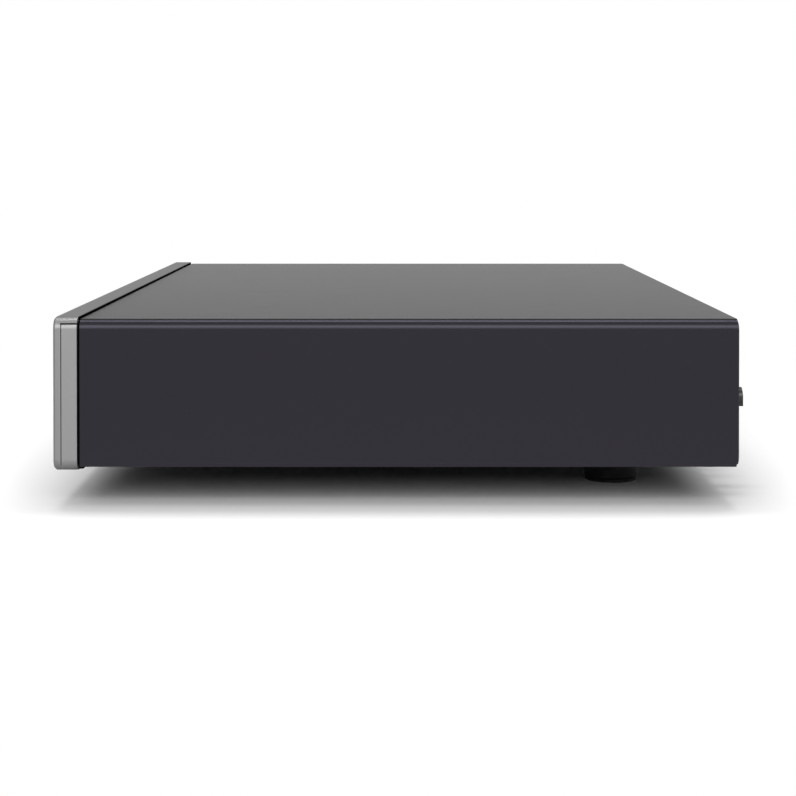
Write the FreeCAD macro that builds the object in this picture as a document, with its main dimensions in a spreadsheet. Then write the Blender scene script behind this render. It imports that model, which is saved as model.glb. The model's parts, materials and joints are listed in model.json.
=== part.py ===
"""A full-width disc transport: folded steel case, aluminium faceplate, drawer loader and its electronics.

Frame: X to the right as seen from the front, -Y out of the front, +Z up, in millimetres.
The origin lies on the floor under the middle of the box that the whole player fills.
"""
import FreeCAD, Part
import math
import os
from types import SimpleNamespace

import Sketcher
from FreeCAD import Placement, Rotation, Vector

SIZES = {
    # Whole player
    "overall_width": 430.0,
    "overall_height": 85.0,
    "body_depth": 306.0,
    "dust_cap_reach": 12.0,
    # Folded sheet case
    "case_step": 1.0,
    "case_lift": 18.2,
    "cover_sheet": 1.0,
    "base_sheet": 1.0,
    "rear_sheet": 1.2,
    "bend_radius": 4.3,
    "sheet_gap": 0.2,
    "rear_proud": 0.6,
    "hem_width": 9.0,
    "pan_flange_height": 15.0,
    "vent_width": 3.0,
    "vent_length": 44.0,
    "vent_pitch": 8.0,
    # Aluminium faceplate and the dark frame behind it
    "plate_lift": 16.3,
    "plate_thickness": 3.4,
    "faceplate_depth": 10.6,
    "strip_thickness": 2.6,
    "sill_thickness": 2.4,
    "end_cap_width": 5.0,
    "end_cap_groove": 0.35,
    "edge_bevel": 0.9,
    "front_gap": 1.1,
    "frame_recess": 3.0,
    "frame_rim_depth": 10.0,
    "frame_rim_wall": 2.5,
    # Controls on the faceplate
    "control_height": 40.0,
    "window_width": 150.0,
    "window_height": 22.0,
    "window_clearance": 0.2,
    "button_width": 13.0,
    "button_height": 5.0,
    "button_clearance": 0.15,
    "button_flange": 1.2,
    "button_travel": 0.6,
    "button_pitch": 19.0,
    "button_row_shift": 3.0,
    "standby_radius": 6.5,
    "standby_inset": 43.0,
    "control_board_height": 30.0,
    "board_thickness": 1.6,
    # Feet
    "foot_radius": 13.3,
    "foot_pad_radius": 12.4,
    "foot_pad_height": 1.5,
    "rear_foot_inset": 74.0,
    "rear_foot_setback": 49.0,
    "front_foot_setback": 46.0,
    # Drawer
    "fascia_width": 140.0,
    "fascia_height": 14.0,
    "fascia_thickness": 4.0,
    "fascia_lift": 58.0,
    "fascia_clearance": 0.5,
    "tray_width": 134.0,
    "tray_length": 170.0,
    "tray_travel": 140.0,
    "tray_floor": 1.8,
    "tray_rim": 4.3,
    "rail_width": 5.0,
    "rail_depth": 4.0,
    "disc_setback": 79.0,
    "disc_recess_radius": 61.0,
    "small_disc_radius": 41.0,
    "small_disc_depth": 0.7,
    "slot_half_width": 25.0,
    # Loader frame
    "loader_wall": 3.0,
    "loader_side_gap": 0.4,
    "loader_length": 166.0,
    "loader_depth": 34.0,
    "deck_depth": 33.0,
    "deck_thickness": 2.5,
    "runner_gap": 0.3,
    "bridge_sheet": 1.0,
    "bridge_length": 42.0,
    "post_radius": 4.0,
    "standoff_radius": 3.0,
    # Loading gears and belt
    "gear_module": 1.0,
    "drive_gear_teeth": 28,
    "pulley_pinion_teeth": 16,
    "gear_play": 0.18,
    "drive_gear_width": 3.3,
    "axle_radius": 1.9,
    "running_gap": 0.06,
    "pulley_radius": 14.0,
    "motor_pulley_radius": 4.6,
    "pulley_width": 3.0,
    "groove_depth": 1.5,
    "belt_width": 1.2,
    "belt_gap": 0.06,
    "loading_motor_radius": 11.0,
    "loading_motor_length": 18.0,
    "motor_distance": 45.0,
    # Lift
    "pivot_distance": 88.0,
    "cradle_width": 96.0,
    "cradle_wall": 3.0,
    "cradle_height": 7.0,
    "pin_radius": 2.0,
    "pin_distance": 28.5,
    "turntable_drop": 6.0,
    "slider_travel": 20.0,
    "slider_thickness": 2.5,
    # Traverse
    "damper_height": 4.0,
    "damper_radius": 4.6,
    "traverse_sheet": 1.5,
    "spindle_motor_radius": 12.0,
    "spindle_motor_length": 11.0,
    "spindle_radius": 1.0,
    "turntable_radius": 14.5,
    "disc_bore_radius": 7.4,
    "pickup_travel": 36.0,
    "lens_start": 24.0,
    "lens_radius": 3.4,
    "rod_radius": 1.5,
    "rod_place": 24.0,
    "sled_module": 0.6,
    "sled_small_teeth": 16,
    "sled_large_teeth": 24,
    "sled_pinion_teeth": 12,
    "sled_play": 0.12,
    # Boards and rear connectors
    "board_lift": 14.5,
    "board_inset": 11.0,
    "board_setback": 2.0,
    "main_board_width": 167.0,
    "main_board_length": 108.0,
    "coax_inset": 41.0,
    "coax_radius": 4.15,
    "coax_bore_radius": 1.7,
    "coax_shoulder": 4.6,
    "coax_reach": 8.5,
    "optical_inset": 58.0,
    "bus_inset": 86.0,
    "bus_pitch": 16.0,
    "infrared_inset": 120.0,
    "jack_bore_radius": 1.8,
    "serial_shift": 57.5,
    "mains_height": 47.0,
    "wire_radius": 1.3,
    "inlet_inset": 44.0,
    "inlet_depth": 26.0,
    "rocker_inset": 88.0,
    "rocker_tilt": 8.0,
    "rocker_pin_radius": 1.0,
    "supply_board_width": 98.0,
    "supply_board_place": 14.0,
    "supply_can_radius": 9.0,
    "supply_can_height": 26.0,
    "ribbon_width": 26.0,
    "ribbon_thickness": 0.8,
    "sink_place": 20.0,
    "sink_setback": 30.0,
    "sink_height": 28.0,
    "sink_web": 3.0,
    "fin_pitch": 7.0,
    "fin_thickness": 2.0,
    "fin_length": 16.0,
    # Transformer
    "transformer_shift": 4.0,
    "transformer_setback": 60.0,
    "core_width": 56.0,
    "core_stack": 26.0,
    "core_height": 46.0,
    "core_leg": 18.0,
    "core_window": 10.0,
    "core_yoke": 9.0,
    "strap_width": 76.0,
    "strap_sheet": 1.0,
    "coil_length": 44.0,
    "coil_clearance": 0.3,
    # Screws
    "screw_head_radius": 2.9,
    "screw_head_height": 1.8,
    "inner_screw_radius": 1.45,
}

document = FreeCAD.newDocument("DiscTransport")
sheet = document.addObject("Spreadsheet::Sheet", "Sizes")
for row, (alias, number) in enumerate(SIZES.items(), start=1):
    sheet.set("A%d" % row, alias)
    sheet.set("B%d" % row, str(number))
    sheet.setAlias("B%d" % row, alias)
document.recompute()


class Size:
    """A length with its present number and the sheet expression that gives it."""

    def __init__(self, number, text):
        self.number = float(number)
        self.text = text

    def __add__(self, other):
        return join_sizes(self, "+", other)

    def __radd__(self, other):
        return join_sizes(other, "+", self)

    def __sub__(self, other):
        return join_sizes(self, "-", other)

    def __rsub__(self, other):
        return join_sizes(other, "-", self)

    def __mul__(self, other):
        return join_sizes(self, "*", other)

    def __rmul__(self, other):
        return join_sizes(other, "*", self)

    def __truediv__(self, other):
        return join_sizes(self, "/", other)

    def __rtruediv__(self, other):
        return join_sizes(other, "/", self)

    def __neg__(self):
        return join_sizes(0, "-", self)


def as_size(value):
    if isinstance(value, Size):
        return value
    return Size(value, "%.6f" % value if value >= 0 else "(0 - %.6f)" % -value)


def join_sizes(left, sign, right):
    left = as_size(left)
    right = as_size(right)
    if sign == "+":
        number = left.number + right.number
    elif sign == "-":
        number = left.number - right.number
    elif sign == "*":
        number = left.number * right.number
    else:
        number = left.number / right.number
    return Size(number, "(%s %s %s)" % (left.text, sign, right.text))


def bind(item, name, value):
    item.setExpression(name, as_size(value).text)


s = SimpleNamespace(**{alias: Size(sheet.get(alias), "Sizes." + alias) for alias in SIZES})

# Case
half_width = s.overall_width / 2
front = -(s.body_depth + s.dust_cap_reach) / 2
plate_back = front + s.plate_thickness
strip_back = front + s.faceplate_depth
case_front = strip_back + s.front_gap
rear_face = front + s.body_depth
rear_inner = rear_face - s.rear_sheet
cover_rear = rear_face - s.rear_proud
case_half = half_width - s.case_step
cover_inner = case_half - s.cover_sheet
case_top = s.overall_height - s.case_step
ceiling = case_top - s.cover_sheet
base_low = s.case_lift + s.sheet_gap
base_top = base_low + s.base_sheet
face_corner = s.bend_radius + s.case_step
pan_half = cover_inner - s.sheet_gap
plate_top = s.overall_height

# Drawer and loader
fascia_half = s.fascia_width / 2
fascia_top = s.fascia_lift + s.fascia_height
tray_half = s.tray_width / 2
tray_front = front + s.fascia_thickness
tray_rear = tray_front + s.tray_length
disc_place = front + s.disc_setback
tray_under = s.fascia_lift + 6.2
tray_recess = tray_under + s.tray_floor
tray_top = tray_under + s.tray_rim
rail_low = tray_under - s.rail_depth
loader_inner = tray_half + s.loader_side_gap
loader_outer = loader_inner + s.loader_wall
loader_front = case_front + 1.3
loader_rear = loader_front + s.loader_length
loader_top = tray_top + 2.5
loader_low = loader_top - s.loader_depth
ledge_top = rail_low - s.runner_gap
deck_top = rail_low - 4.7
deck_low = deck_top - s.deck_thickness
deck_rear = loader_front + s.deck_depth
bridge_top = loader_top + s.bridge_sheet

# Loading gears
rack_root = tray_half - s.rail_width - 1.4
rack_pitch_line = rack_root - 1.25 * s.gear_module
drive_gear_radius = s.drive_gear_teeth * s.gear_module / 2
pulley_pinion_radius = s.pulley_pinion_teeth * s.gear_module / 2
drive_gear_x = drive_gear_radius - rack_pitch_line
gear_line = loader_front + s.deck_depth / 2
pulley_gear_x = drive_gear_x + drive_gear_radius + pulley_pinion_radius
loading_motor_x = pulley_gear_x + s.motor_distance
gear_low = rail_low + 0.2
gear_high = gear_low + s.drive_gear_width
pulley_low = deck_top + 0.4
pulley_high = pulley_low + s.pulley_width
belt_low = (pulley_low + pulley_high - s.belt_width) / 2
belt_seat = s.groove_depth * (1 - (s.belt_width + 2 * s.belt_gap) / s.pulley_width)

# Lift and traverse
pivot_y = disc_place + s.pivot_distance
pin_height = tray_under - 13.2
cradle_low = pin_height - 4.0
cradle_top = cradle_low + s.cradle_height
cradle_half = s.cradle_width / 2
cradle_inner = cradle_half - s.cradle_wall
cradle_front = deck_rear + 9.0
cradle_rear = pivot_y + 4.0
slider_front = deck_rear + 1.5
slider_back = slider_front + s.slider_thickness
pin_reach = pivot_y - (slider_front + slider_back) / 2
front_pin_drop = s.turntable_drop * pin_reach / s.pivot_distance
plate_low = cradle_top + s.damper_height
plate_high = plate_low + s.traverse_sheet
lens_y = disc_place + s.lens_start
rod_height = plate_low - s.rod_radius - 0.1
disc_seat = tray_recess + 2.6
damper_x = cradle_inner - 4.7
damper_front = cradle_front + s.cradle_wall + 4.7
damper_rear = cradle_rear - s.cradle_wall - 4.7
rod_front = disc_place + s.spindle_motor_radius - 4.0
rod_rear = pivot_y - 7.0
sled_rack_root = s.rod_place + 4.9
sled_rack_line = sled_rack_root + 1.25 * s.sled_module
sled_small_radius = s.sled_small_teeth * s.sled_module / 2
sled_large_radius = s.sled_large_teeth * s.sled_module / 2
sled_pinion_radius = s.sled_pinion_teeth * s.sled_module / 2
sled_gear_x = sled_rack_line + sled_small_radius
sled_gear_y = disc_place + 40.0
sled_motor_y = sled_gear_y - sled_large_radius - sled_pinion_radius
sled_rack_low = plate_low - 3.6
sled_rack_high = sled_rack_low + 1.8

# Boards and rear connectors
board_low = base_top + s.board_lift
board_top = board_low + s.board_thickness
ribbon_foot = board_top + 8.0
control_board_back = strip_back
control_board_front = control_board_back - s.board_thickness
switch_top = plate_back + 0.3 + 1.0 + s.button_travel + 0.2
coax_x = case_half - s.coax_inset
coax_z = board_top + 9.0
optical_x = case_half - s.optical_inset
optical_z = board_top + 5.1
bus_x = case_half - s.bus_inset
infrared_x = case_half - s.infrared_inset
infrared_z = board_top + 5.5
serial_z = board_top + 6.5
inlet_x = s.inlet_inset - case_half
rocker_x = s.rocker_inset - case_half
button_middle = (s.window_width / 2 + half_width) / 2 - s.button_row_shift
button_places = [button_middle + s.button_pitch * step for step in (-2, -1, 0, 1, 2)]
standby_x = s.standby_inset - case_half
board_right = case_half - s.board_inset
board_left = board_right - s.main_board_width
serial_x = (board_left + board_right) / 2 - s.serial_shift
board_rear = rear_inner - s.board_setback
board_front = board_rear - s.main_board_length
supply_right = -s.supply_board_place
supply_left = supply_right - s.supply_board_width
button_names = ["open_button", "play_button", "stop_button", "previous_button", "next_button"]

# Small and inner round pieces are many-sided rather than round: motor cans and the like, and thin shafts.
CAN_SIDES = 24
SMALL_SIDES = 12

nodes = []


def keep(label, item):
    item.Label = label
    nodes.append(item)
    return item


def block(x, y, z):
    item = document.addObject("Part::Box", "Block")
    for name, axis, span in (("Length", "x", x), ("Width", "y", y), ("Height", "z", z)):
        bind(item, name, as_size(span[1]) - span[0])
        bind(item, "Placement.Base." + axis, span[0])
    return item


AXIS_TURNS = {
    "x": Rotation(Vector(0, 1, 0), 90),
    "y": Rotation(Vector(1, 0, 0), -90),
    "z": Rotation(),
}


def rod(axis, place, span, radius):
    """A cylinder along an axis, at place on the other two axes in x, y, z order."""
    item = document.addObject("Part::Cylinder", "Rod")
    item.Placement = Placement(Vector(), AXIS_TURNS[axis])
    others = [name for name in "xyz" if name != axis]
    bind(item, "Placement.Base." + axis, span[0])
    bind(item, "Placement.Base." + others[0], place[0])
    bind(item, "Placement.Base." + others[1], place[1])
    bind(item, "Height", as_size(span[1]) - span[0])
    bind(item, "Radius", radius)
    return item


def prism(axis, place, span, radius, sides):
    """A straight bar with a regular outline along an axis, placed as a rod is."""
    item = document.addObject("Part::Prism", "Prism")
    item.Polygon = sides
    item.Placement = Placement(Vector(), AXIS_TURNS[axis])
    others = [name for name in "xyz" if name != axis]
    bind(item, "Placement.Base." + axis, span[0])
    bind(item, "Placement.Base." + others[0], place[0])
    bind(item, "Placement.Base." + others[1], place[1])
    bind(item, "Height", as_size(span[1]) - span[0])
    bind(item, "Circumradius", radius)
    return item


def group(parts):
    """Separate solids in one object, such as identical screws."""
    item = document.addObject("Part::Compound", "Group")
    item.Links = parts
    return item


def join(parts):
    item = document.addObject("Part::MultiFuse", "Joined")
    item.Shapes = parts
    item.Refine = True
    return item


def cut(base, tools):
    item = document.addObject("Part::Cut", "Cut")
    item.Base = base
    item.Tool = tools[0] if len(tools) == 1 else group(tools)
    item.Refine = True
    return item


def new_body(name):
    return document.addObject("PartDesign::Body", name)


def plane_of(body, name):
    return [item for item in body.Origin.OriginFeatures if item.Role == name + "_Plane"][0]


def new_sketch(body, plane, level, loops, circles, shift=(0.0, 0.0)):
    """Closed loops of points and circles on an origin plane, level along the plane's world axis."""
    sketch = body.newObject("Sketcher::SketchObject", body.Name + "_Sketch")
    sketch.AttachmentSupport = [(plane_of(body, plane), "")]
    sketch.MapMode = "FlatFace"
    bind(sketch, "AttachmentOffset.Base.z", -as_size(level) if plane == "XZ" else level)
    for name, value in zip("xy", shift):
        bind(sketch, "AttachmentOffset.Base." + name, value)
    for points in loops:
        place_loop(sketch, points)
    for across, up, radius in circles:
        across, up, radius = as_size(across), as_size(up), as_size(radius)
        centre = Vector(across.number, up.number, 0)
        index = sketch.addGeometry(Part.Circle(centre, Vector(0, 0, 1), radius.number), False)
        place_point(sketch, index, 3, across, up)
        number = sketch.addConstraint(Sketcher.Constraint("Radius", index, radius.number))
        sketch.setExpression("Constraints[%d]" % number, radius.text)
    return sketch


def place_loop(sketch, points):
    points = [(as_size(across), as_size(up)) for across, up in points]
    count = len(points)
    corners = [Vector(across.number, up.number, 0) for across, up in points]
    lines = []
    for index in range(count):
        line = Part.LineSegment(corners[index], corners[(index + 1) % count])
        lines.append(sketch.addGeometry(line, False))
    for index in range(count):
        following = lines[(index + 1) % count]
        sketch.addConstraint(Sketcher.Constraint("Coincident", lines[index], 2, following, 1))
    for line, (across, up) in zip(lines, points):
        place_point(sketch, line, 1, across, up)


def place_point(sketch, index, vertex, across, up):
    for kind, axis, value in (("DistanceX", -2, across), ("DistanceY", -1, up)):
        if abs(value.number) < 1e-9:
            sketch.addConstraint(Sketcher.Constraint("PointOnObject", index, vertex, axis))
            continue
        number = sketch.addConstraint(Sketcher.Constraint(kind, -1, 1, index, vertex, value.number))
        sketch.setExpression("Constraints[%d]" % number, value.text)


def rectangle(across, up):
    return [(across[0], up[0]), (across[1], up[0]), (across[1], up[1]), (across[0], up[1])]


def pad(body, plane, span, loops=(), circles=(), shift=(0.0, 0.0)):
    """Material between two levels along the plane's world axis."""
    feature = body.newObject("PartDesign::Pad", body.Name + "_Pad")
    feature.Profile = new_sketch(body, plane, span[0], loops, circles, shift)
    bind(feature, "Length", as_size(span[1]) - span[0])
    feature.Reversed = plane == "XZ"
    return feature


def pocket(body, plane, span, loops=(), circles=(), shift=(0.0, 0.0)):
    """A cut between two levels along the plane's world axis."""
    feature = body.newObject("PartDesign::Pocket", body.Name + "_Pocket")
    feature.Profile = new_sketch(body, plane, span[0], loops, circles, shift)
    bind(feature, "Length", as_size(span[1]) - span[0])
    feature.Reversed = plane != "XZ"
    return feature


def turned(name, place, points):
    """A body of revolution about a vertical line; points are radius and height."""
    body = new_body(name)
    sketch = new_sketch(body, "XZ", place[1], [points], (), (place[0], 0.0))
    feature = body.newObject("PartDesign::Revolution", name + "_Turn")
    feature.Profile = sketch
    feature.ReferenceAxis = (sketch, ["V_Axis"])
    feature.Angle = 360
    return body


def edges_where(shape, test):
    return ["Edge%d" % (index + 1) for index, edge in enumerate(shape.Edges) if test(edge)]


def runs_along(edge, axis):
    if len(edge.Vertexes) != 2 or not isinstance(edge.Curve, Part.Line):
        return False
    return abs(edge.Curve.Direction.dot(axis)) > 0.999


def soften(body, kind, size, test):
    """Round (Fillet) or bevel (Chamfer) the edges of the body that pass the test."""
    document.recompute()
    base = body.Tip
    feature = body.newObject("PartDesign::" + kind, body.Name + "_" + kind)
    feature.Base = (base, edges_where(base.Shape, test))
    bind(feature, "Radius" if kind == "Fillet" else "Size", size)
    return feature


def corner_edges(axis, places):
    """A test for straight edges along an axis whose middle lies at one of the places."""
    def test(edge):
        if not runs_along(edge, axis):
            return False
        middle = edge.CenterOfMass
        for place in places:
            if all(want is None or abs(getattr(middle, name) - as_size(want).number) < 0.02
                   for name, want in zip("xyz", place)):
                return True
        return False
    return test


X_AXIS = Vector(1, 0, 0)
Y_AXIS = Vector(0, 1, 0)
Z_AXIS = Vector(0, 0, 1)


def top_cover():
    """Folded lid with two sides, and a welded hem inside its rear edge for the rear screws."""
    body = new_body("top_cover")
    outer = [(-case_half, s.case_lift), (-case_half, case_top), (case_half, case_top),
             (case_half, s.case_lift)]
    inner = [(cover_inner, s.case_lift), (cover_inner, ceiling), (-cover_inner, ceiling),
             (-cover_inner, s.case_lift)]
    pad(body, "XZ", (case_front, cover_rear), [outer + inner])
    soften(body, "Fillet", s.bend_radius,
           corner_edges(Y_AXIS, [(-case_half, None, case_top), (case_half, None, case_top)]))
    soften(body, "Fillet", s.bend_radius - s.cover_sheet,
           corner_edges(Y_AXIS, [(-cover_inner, None, ceiling), (cover_inner, None, ceiling)]))
    side = cover_inner + s.cover_sheet / 2
    high = ceiling + s.cover_sheet / 2
    low = s.case_lift + 6.0
    bend = s.bend_radius
    hem_side = cover_inner - s.hem_width
    hem_low = ceiling - s.hem_width
    hem = [(-side, low), (-side, high - bend), (bend - side, high), (side - bend, high),
           (side, high - bend), (side, low), (hem_side, low), (hem_side, hem_low),
           (-hem_side, hem_low), (-hem_side, low)]
    pad(body, "XZ", (rear_inner - s.cover_sheet, rear_inner), [hem])
    notch = [(cover_rear - 1.0, s.case_lift - 1.0), (cover_rear + 1.0, s.case_lift - 1.0),
             (cover_rear + 1.0, s.case_lift + 4.1), (cover_rear, s.case_lift + 4.1)]
    pocket(body, "YZ", (-case_half - 1.0, case_half + 1.0), [notch])
    keep("top_cover", body)


def chassis_base():
    """Folded pan with two vent grilles and a rear flange."""
    body = new_body("chassis_base")
    inner = pan_half - s.base_sheet
    high = base_top + s.pan_flange_height
    profile = [(-pan_half, base_low), (pan_half, base_low), (pan_half, high), (inner, high),
               (inner, base_top), (-inner, base_top), (-inner, high), (-pan_half, high)]
    wall_rear = rear_inner - s.cover_sheet - 0.4
    pad(body, "XZ", (case_front + s.sheet_gap, wall_rear), [profile])
    floor = rectangle((-pan_half, pan_half), (base_low, base_top))
    pad(body, "XZ", (wall_rear, rear_inner), [floor])
    flange_half = cover_inner - s.hem_width - 3.0
    flange = rectangle((-flange_half, flange_half), (base_top, base_top + 8.0))
    pad(body, "XZ", (rear_inner - s.base_sheet, rear_inner), [flange])
    middle = board_front + 2.0 + s.vent_length / 2
    for first, count in ((board_left + 18.0, 16), (supply_left + 16.0, 8)):
        loops = []
        for step in range(count):
            left = first + s.vent_pitch * step
            loops.append(rectangle((left, left + s.vent_width),
                                   (middle - s.vent_length / 2, middle + s.vent_length / 2)))
        pocket(body, "XY", (base_low - 1.0, base_top + 1.0), loops)
    keep("chassis_base", body)


def base_screw_places():
    return loader_post_places() + standoff_places()


def loader_post_places():
    reach = loader_outer + 5.0
    return [(side * reach, y) for side in (-1, 1) for y in (loader_front + 14.0, loader_rear - 9.0)]


def standoff_places():
    places = []
    for left, right in ((board_left, board_right), (supply_left, supply_right)):
        for x in (left + 6.0, right - 6.0):
            for y in (board_front + 6.0, board_rear - 26.0):
                places.append((x, y))
    return places


def rear_panel():
    """Sheet with the connectors' cut-outs; its corners are rounded to clear the lid's bends."""
    body = new_body("rear_panel")
    low = base_low
    high = ceiling - s.sheet_gap
    pad(body, "XZ", (rear_inner, rear_face), [rectangle((-pan_half, pan_half), (low, high))])
    corners = [(x, None, z) for x in (-pan_half, pan_half) for z in (low, high)]
    soften(body, "Fillet", s.bend_radius, corner_edges(Y_AXIS, corners))
    squares = [
        rectangle((optical_x - 5.2, optical_x + 5.2), (optical_z - 4.9, optical_z + 5.2)),
        rectangle((serial_x - 15.6, serial_x + 15.6), (serial_z - 5.2, serial_z + 5.2)),
        rectangle((inlet_x - 14.1, inlet_x + 14.1), (s.mains_height - 10.2, s.mains_height + 10.2)),
        rectangle((rocker_x - 6.6, rocker_x + 6.6), (s.mains_height - 9.6, s.mains_height + 9.6)),
    ]
    shoulder = s.coax_shoulder + 0.2
    squares += [rectangle((x - shoulder, x + shoulder), (coax_z - shoulder, coax_z + shoulder))
                for x in (coax_x, bus_x, bus_x - s.bus_pitch)]
    rounds = [(infrared_x, infrared_z, 3.2)]
    pocket(body, "XZ", (rear_inner - 1.0, rear_face + 1.0), squares, rounds)
    keep("rear_panel", body)


def rear_screw_places():
    middle = s.hem_width / 2
    top = ceiling - middle
    side = cover_inner - s.hem_width - 8.0
    low = base_top + 4.0
    places = [(x * side, top) for x in (-0.92, -0.31, 0.31, 0.92)]
    places += [(x * side, low) for x in (-0.92, -0.31, 0.31, 0.92)]
    return places


def screws():
    """Heads of the case screws, and the small screws that hold the loader, bridge and boards."""
    head = s.screw_head_height
    keep("rear_screws", group([prism("y", place, (rear_face, rear_face + head), s.screw_head_radius, 8)
                               for place in rear_screw_places()]))
    keep("base_screws", group([prism("z", place, (base_low - head, base_low), s.screw_head_radius, 6)
                               for place in base_screw_places()]))
    seats = [(x, y, loader_low + s.loader_wall) for x, y in loader_post_places()]
    side = loader_inner + s.loader_wall / 2
    reach = s.bridge_length / 2 - 5.0
    seats += [(x * side, disc_place + y * reach, bridge_top) for x in (-1, 1) for y in (-1, 1)]
    seats += [(x, y, board_top) for x, y in standoff_places()]
    keep("inner_screws", group([prism("z", (x, y), (z, z + 1.6), s.inner_screw_radius, 6)
                                for x, y, z in seats]))


def front_panel():
    """Machined front with rounded corners: a plate, a deep strip along its top and a sill below."""
    body = new_body("front_panel")
    sill = s.plate_lift + s.sill_thickness
    strip = plate_top - s.strip_thickness
    pad(body, "XZ", (front, strip_back), [rectangle((-half_width, half_width), (s.plate_lift, plate_top))])
    corners = [(x, None, z) for x in (-half_width, half_width) for z in (s.plate_lift, plate_top)]
    soften(body, "Fillet", face_corner, corner_edges(Y_AXIS, corners))
    soften(body, "Chamfer", s.edge_bevel, lambda edge: edge.BoundBox.YMax < front.number + 0.01)
    channel = rectangle((-half_width - 1.0, half_width + 1.0), (sill, strip))
    pocket(body, "XZ", (plate_back, strip_back + 1.0), [channel])
    end = rectangle((plate_back, strip_back + 1.0), (s.plate_lift - 1.0, sill + 1.0))
    pocket(body, "YZ", (half_width - s.end_cap_width, half_width + 1.0), [end])
    pocket(body, "YZ", (-half_width - 1.0, s.end_cap_width - half_width), [end])
    gap = s.fascia_clearance
    window_half = s.window_width / 2 + s.window_clearance
    window_rise = s.window_height / 2 + s.window_clearance
    squares = [rectangle((-fascia_half - gap, fascia_half + gap), (s.fascia_lift - gap, fascia_top + gap)),
               rectangle((-window_half, window_half),
                         (s.control_height - window_rise, s.control_height + window_rise))]
    across = s.button_width / 2 + s.button_clearance
    rise = s.button_height / 2 + s.button_clearance
    squares += [rectangle((x - across, x + across), (s.control_height - rise, s.control_height + rise))
                for x in button_places]
    rounds = [(standby_x, s.control_height, s.standby_radius + s.button_clearance)]
    pocket(body, "XZ", (front - 1.0, plate_back + 1.0), squares, rounds)
    keep("front_panel", body)


def end_cap(side):
    """Inset cheek that closes one end of the faceplate's channel, behind a fine groove."""
    body = new_body("end_cap_body")
    high = plate_top - s.strip_thickness - 0.15
    inner = half_width - s.end_cap_width + 0.1
    spans = [(inner, half_width), (inner, half_width - 1.2)]
    if side < 0:
        spans = [(-outer, -near) for near, outer in spans]
    face = rectangle((plate_back + s.end_cap_groove, strip_back), (s.plate_lift, high))
    tongue = rectangle((plate_back, plate_back + s.end_cap_groove), (s.plate_lift, high))
    pad(body, "YZ", spans[0], [face])
    pad(body, "YZ", spans[1], [tongue])
    return cut(body, [corner_tool(side, low) for low in (True, False)])


def corner_tool(side, low):
    """What a rounded corner of the faceplate leaves outside its arc."""
    centre_x = side * (half_width - face_corner)
    outer = side * (half_width + 1.0)
    across = (centre_x, outer) if side > 0 else (outer, centre_x)
    if low:
        centre_z = s.plate_lift + face_corner
        up = (s.plate_lift - 1.0, centre_z)
    else:
        centre_z = plate_top - face_corner
        up = (centre_z, plate_top + 1.0)
    along = (front, strip_back + 1.0)
    return cut(block(across, along, up), [rod("y", (centre_x, centre_z), along, face_corner)])


def front_subframe():
    """Dark moulded frame: a plate set back behind the faceplate, a lip under it and a rim inside the case."""
    body = new_body("front_subframe")
    half = case_half - s.frame_recess
    high = case_top - s.frame_recess
    pad(body, "XZ", (strip_back, case_front), [rectangle((-half, half), (s.plate_lift, high))])
    round_corner = face_corner - 2.0
    soften(body, "Fillet", round_corner,
           corner_edges(Y_AXIS, [(x, None, z) for x in (-half, half) for z in (s.plate_lift, high)]))
    lip = rectangle((round_corner - half, half - round_corner), (s.plate_lift, s.case_lift - s.sheet_gap))
    pad(body, "XZ", (case_front, case_front + 0.6), [lip])
    rim_half = pan_half - s.base_sheet - s.sheet_gap
    rim_low = base_top + 0.1
    rim_high = ceiling - s.sheet_gap
    wall = s.frame_rim_wall
    outer = rectangle((-rim_half, rim_half), (rim_low, rim_high))
    inner = rectangle((wall - rim_half, rim_half - wall), (rim_low + wall, rim_high - wall))
    pad(body, "XZ", (case_front, case_front + s.frame_rim_depth), [outer, inner])
    soften(body, "Fillet", s.bend_radius - s.cover_sheet,
           corner_edges(Y_AXIS, [(x, None, rim_high) for x in (-rim_half, rim_half)]))
    opening = rectangle((-tray_half - 1.5, tray_half + 1.5), (s.fascia_lift + 0.5, fascia_top - 0.5))
    middle = ribbon_place()
    socket = s.ribbon_width / 2 + 3.0
    slot = rectangle((middle - socket, middle + socket), (s.control_height + 6.0, s.control_height + 14.0))
    pocket(body, "XZ", (strip_back - 1.0, case_front + 1.0), [opening, slot])
    keep("front_subframe", body)


def display():
    half = s.window_width / 2
    rise = s.window_height / 2
    window = block((-half, half), (front + 0.1, plate_back),
                   (s.control_height - rise, s.control_height + rise))
    flange = block((-half - 2.0, half + 2.0), (plate_back, plate_back + 1.0),
                   (s.control_height - rise - 2.0, s.control_height + rise + 2.0))
    keep("display_window", join([window, flange]))
    module = block((8.0 - half, half - 8.0), (plate_back + 1.2, control_board_front),
                   (s.control_height - rise + 1.5, s.control_height + rise - 1.5))
    keep("display_module", module)
    low = s.control_height - s.control_board_height / 2 - 1.0
    board = block((standby_x - 12.0, button_places[-1] + 10.0), (control_board_front, control_board_back),
                  (low, low + s.control_board_height))
    middle = ribbon_place()
    socket = s.ribbon_width / 2 + 2.0
    header = block((middle - socket, middle + socket), (control_board_back, case_front + 3.5),
                   (s.control_height + 7.0, s.control_height + 13.0))
    keep("control_board", group([board, header] + tact_switches()))


def tact_switches():
    """The switches soldered to the control board, one behind each button."""
    parts = []
    for x in button_places + [standby_x]:
        case = block((x - 3.0, x + 3.0), (switch_top + 0.9, control_board_front),
                     (s.control_height - 3.0, s.control_height + 3.0))
        plunger = block((x - 1.4, x + 1.4), (switch_top, switch_top + 0.9),
                        (s.control_height - 1.4, s.control_height + 1.4))
        parts.append(join([case, plunger]))
    return parts


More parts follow.
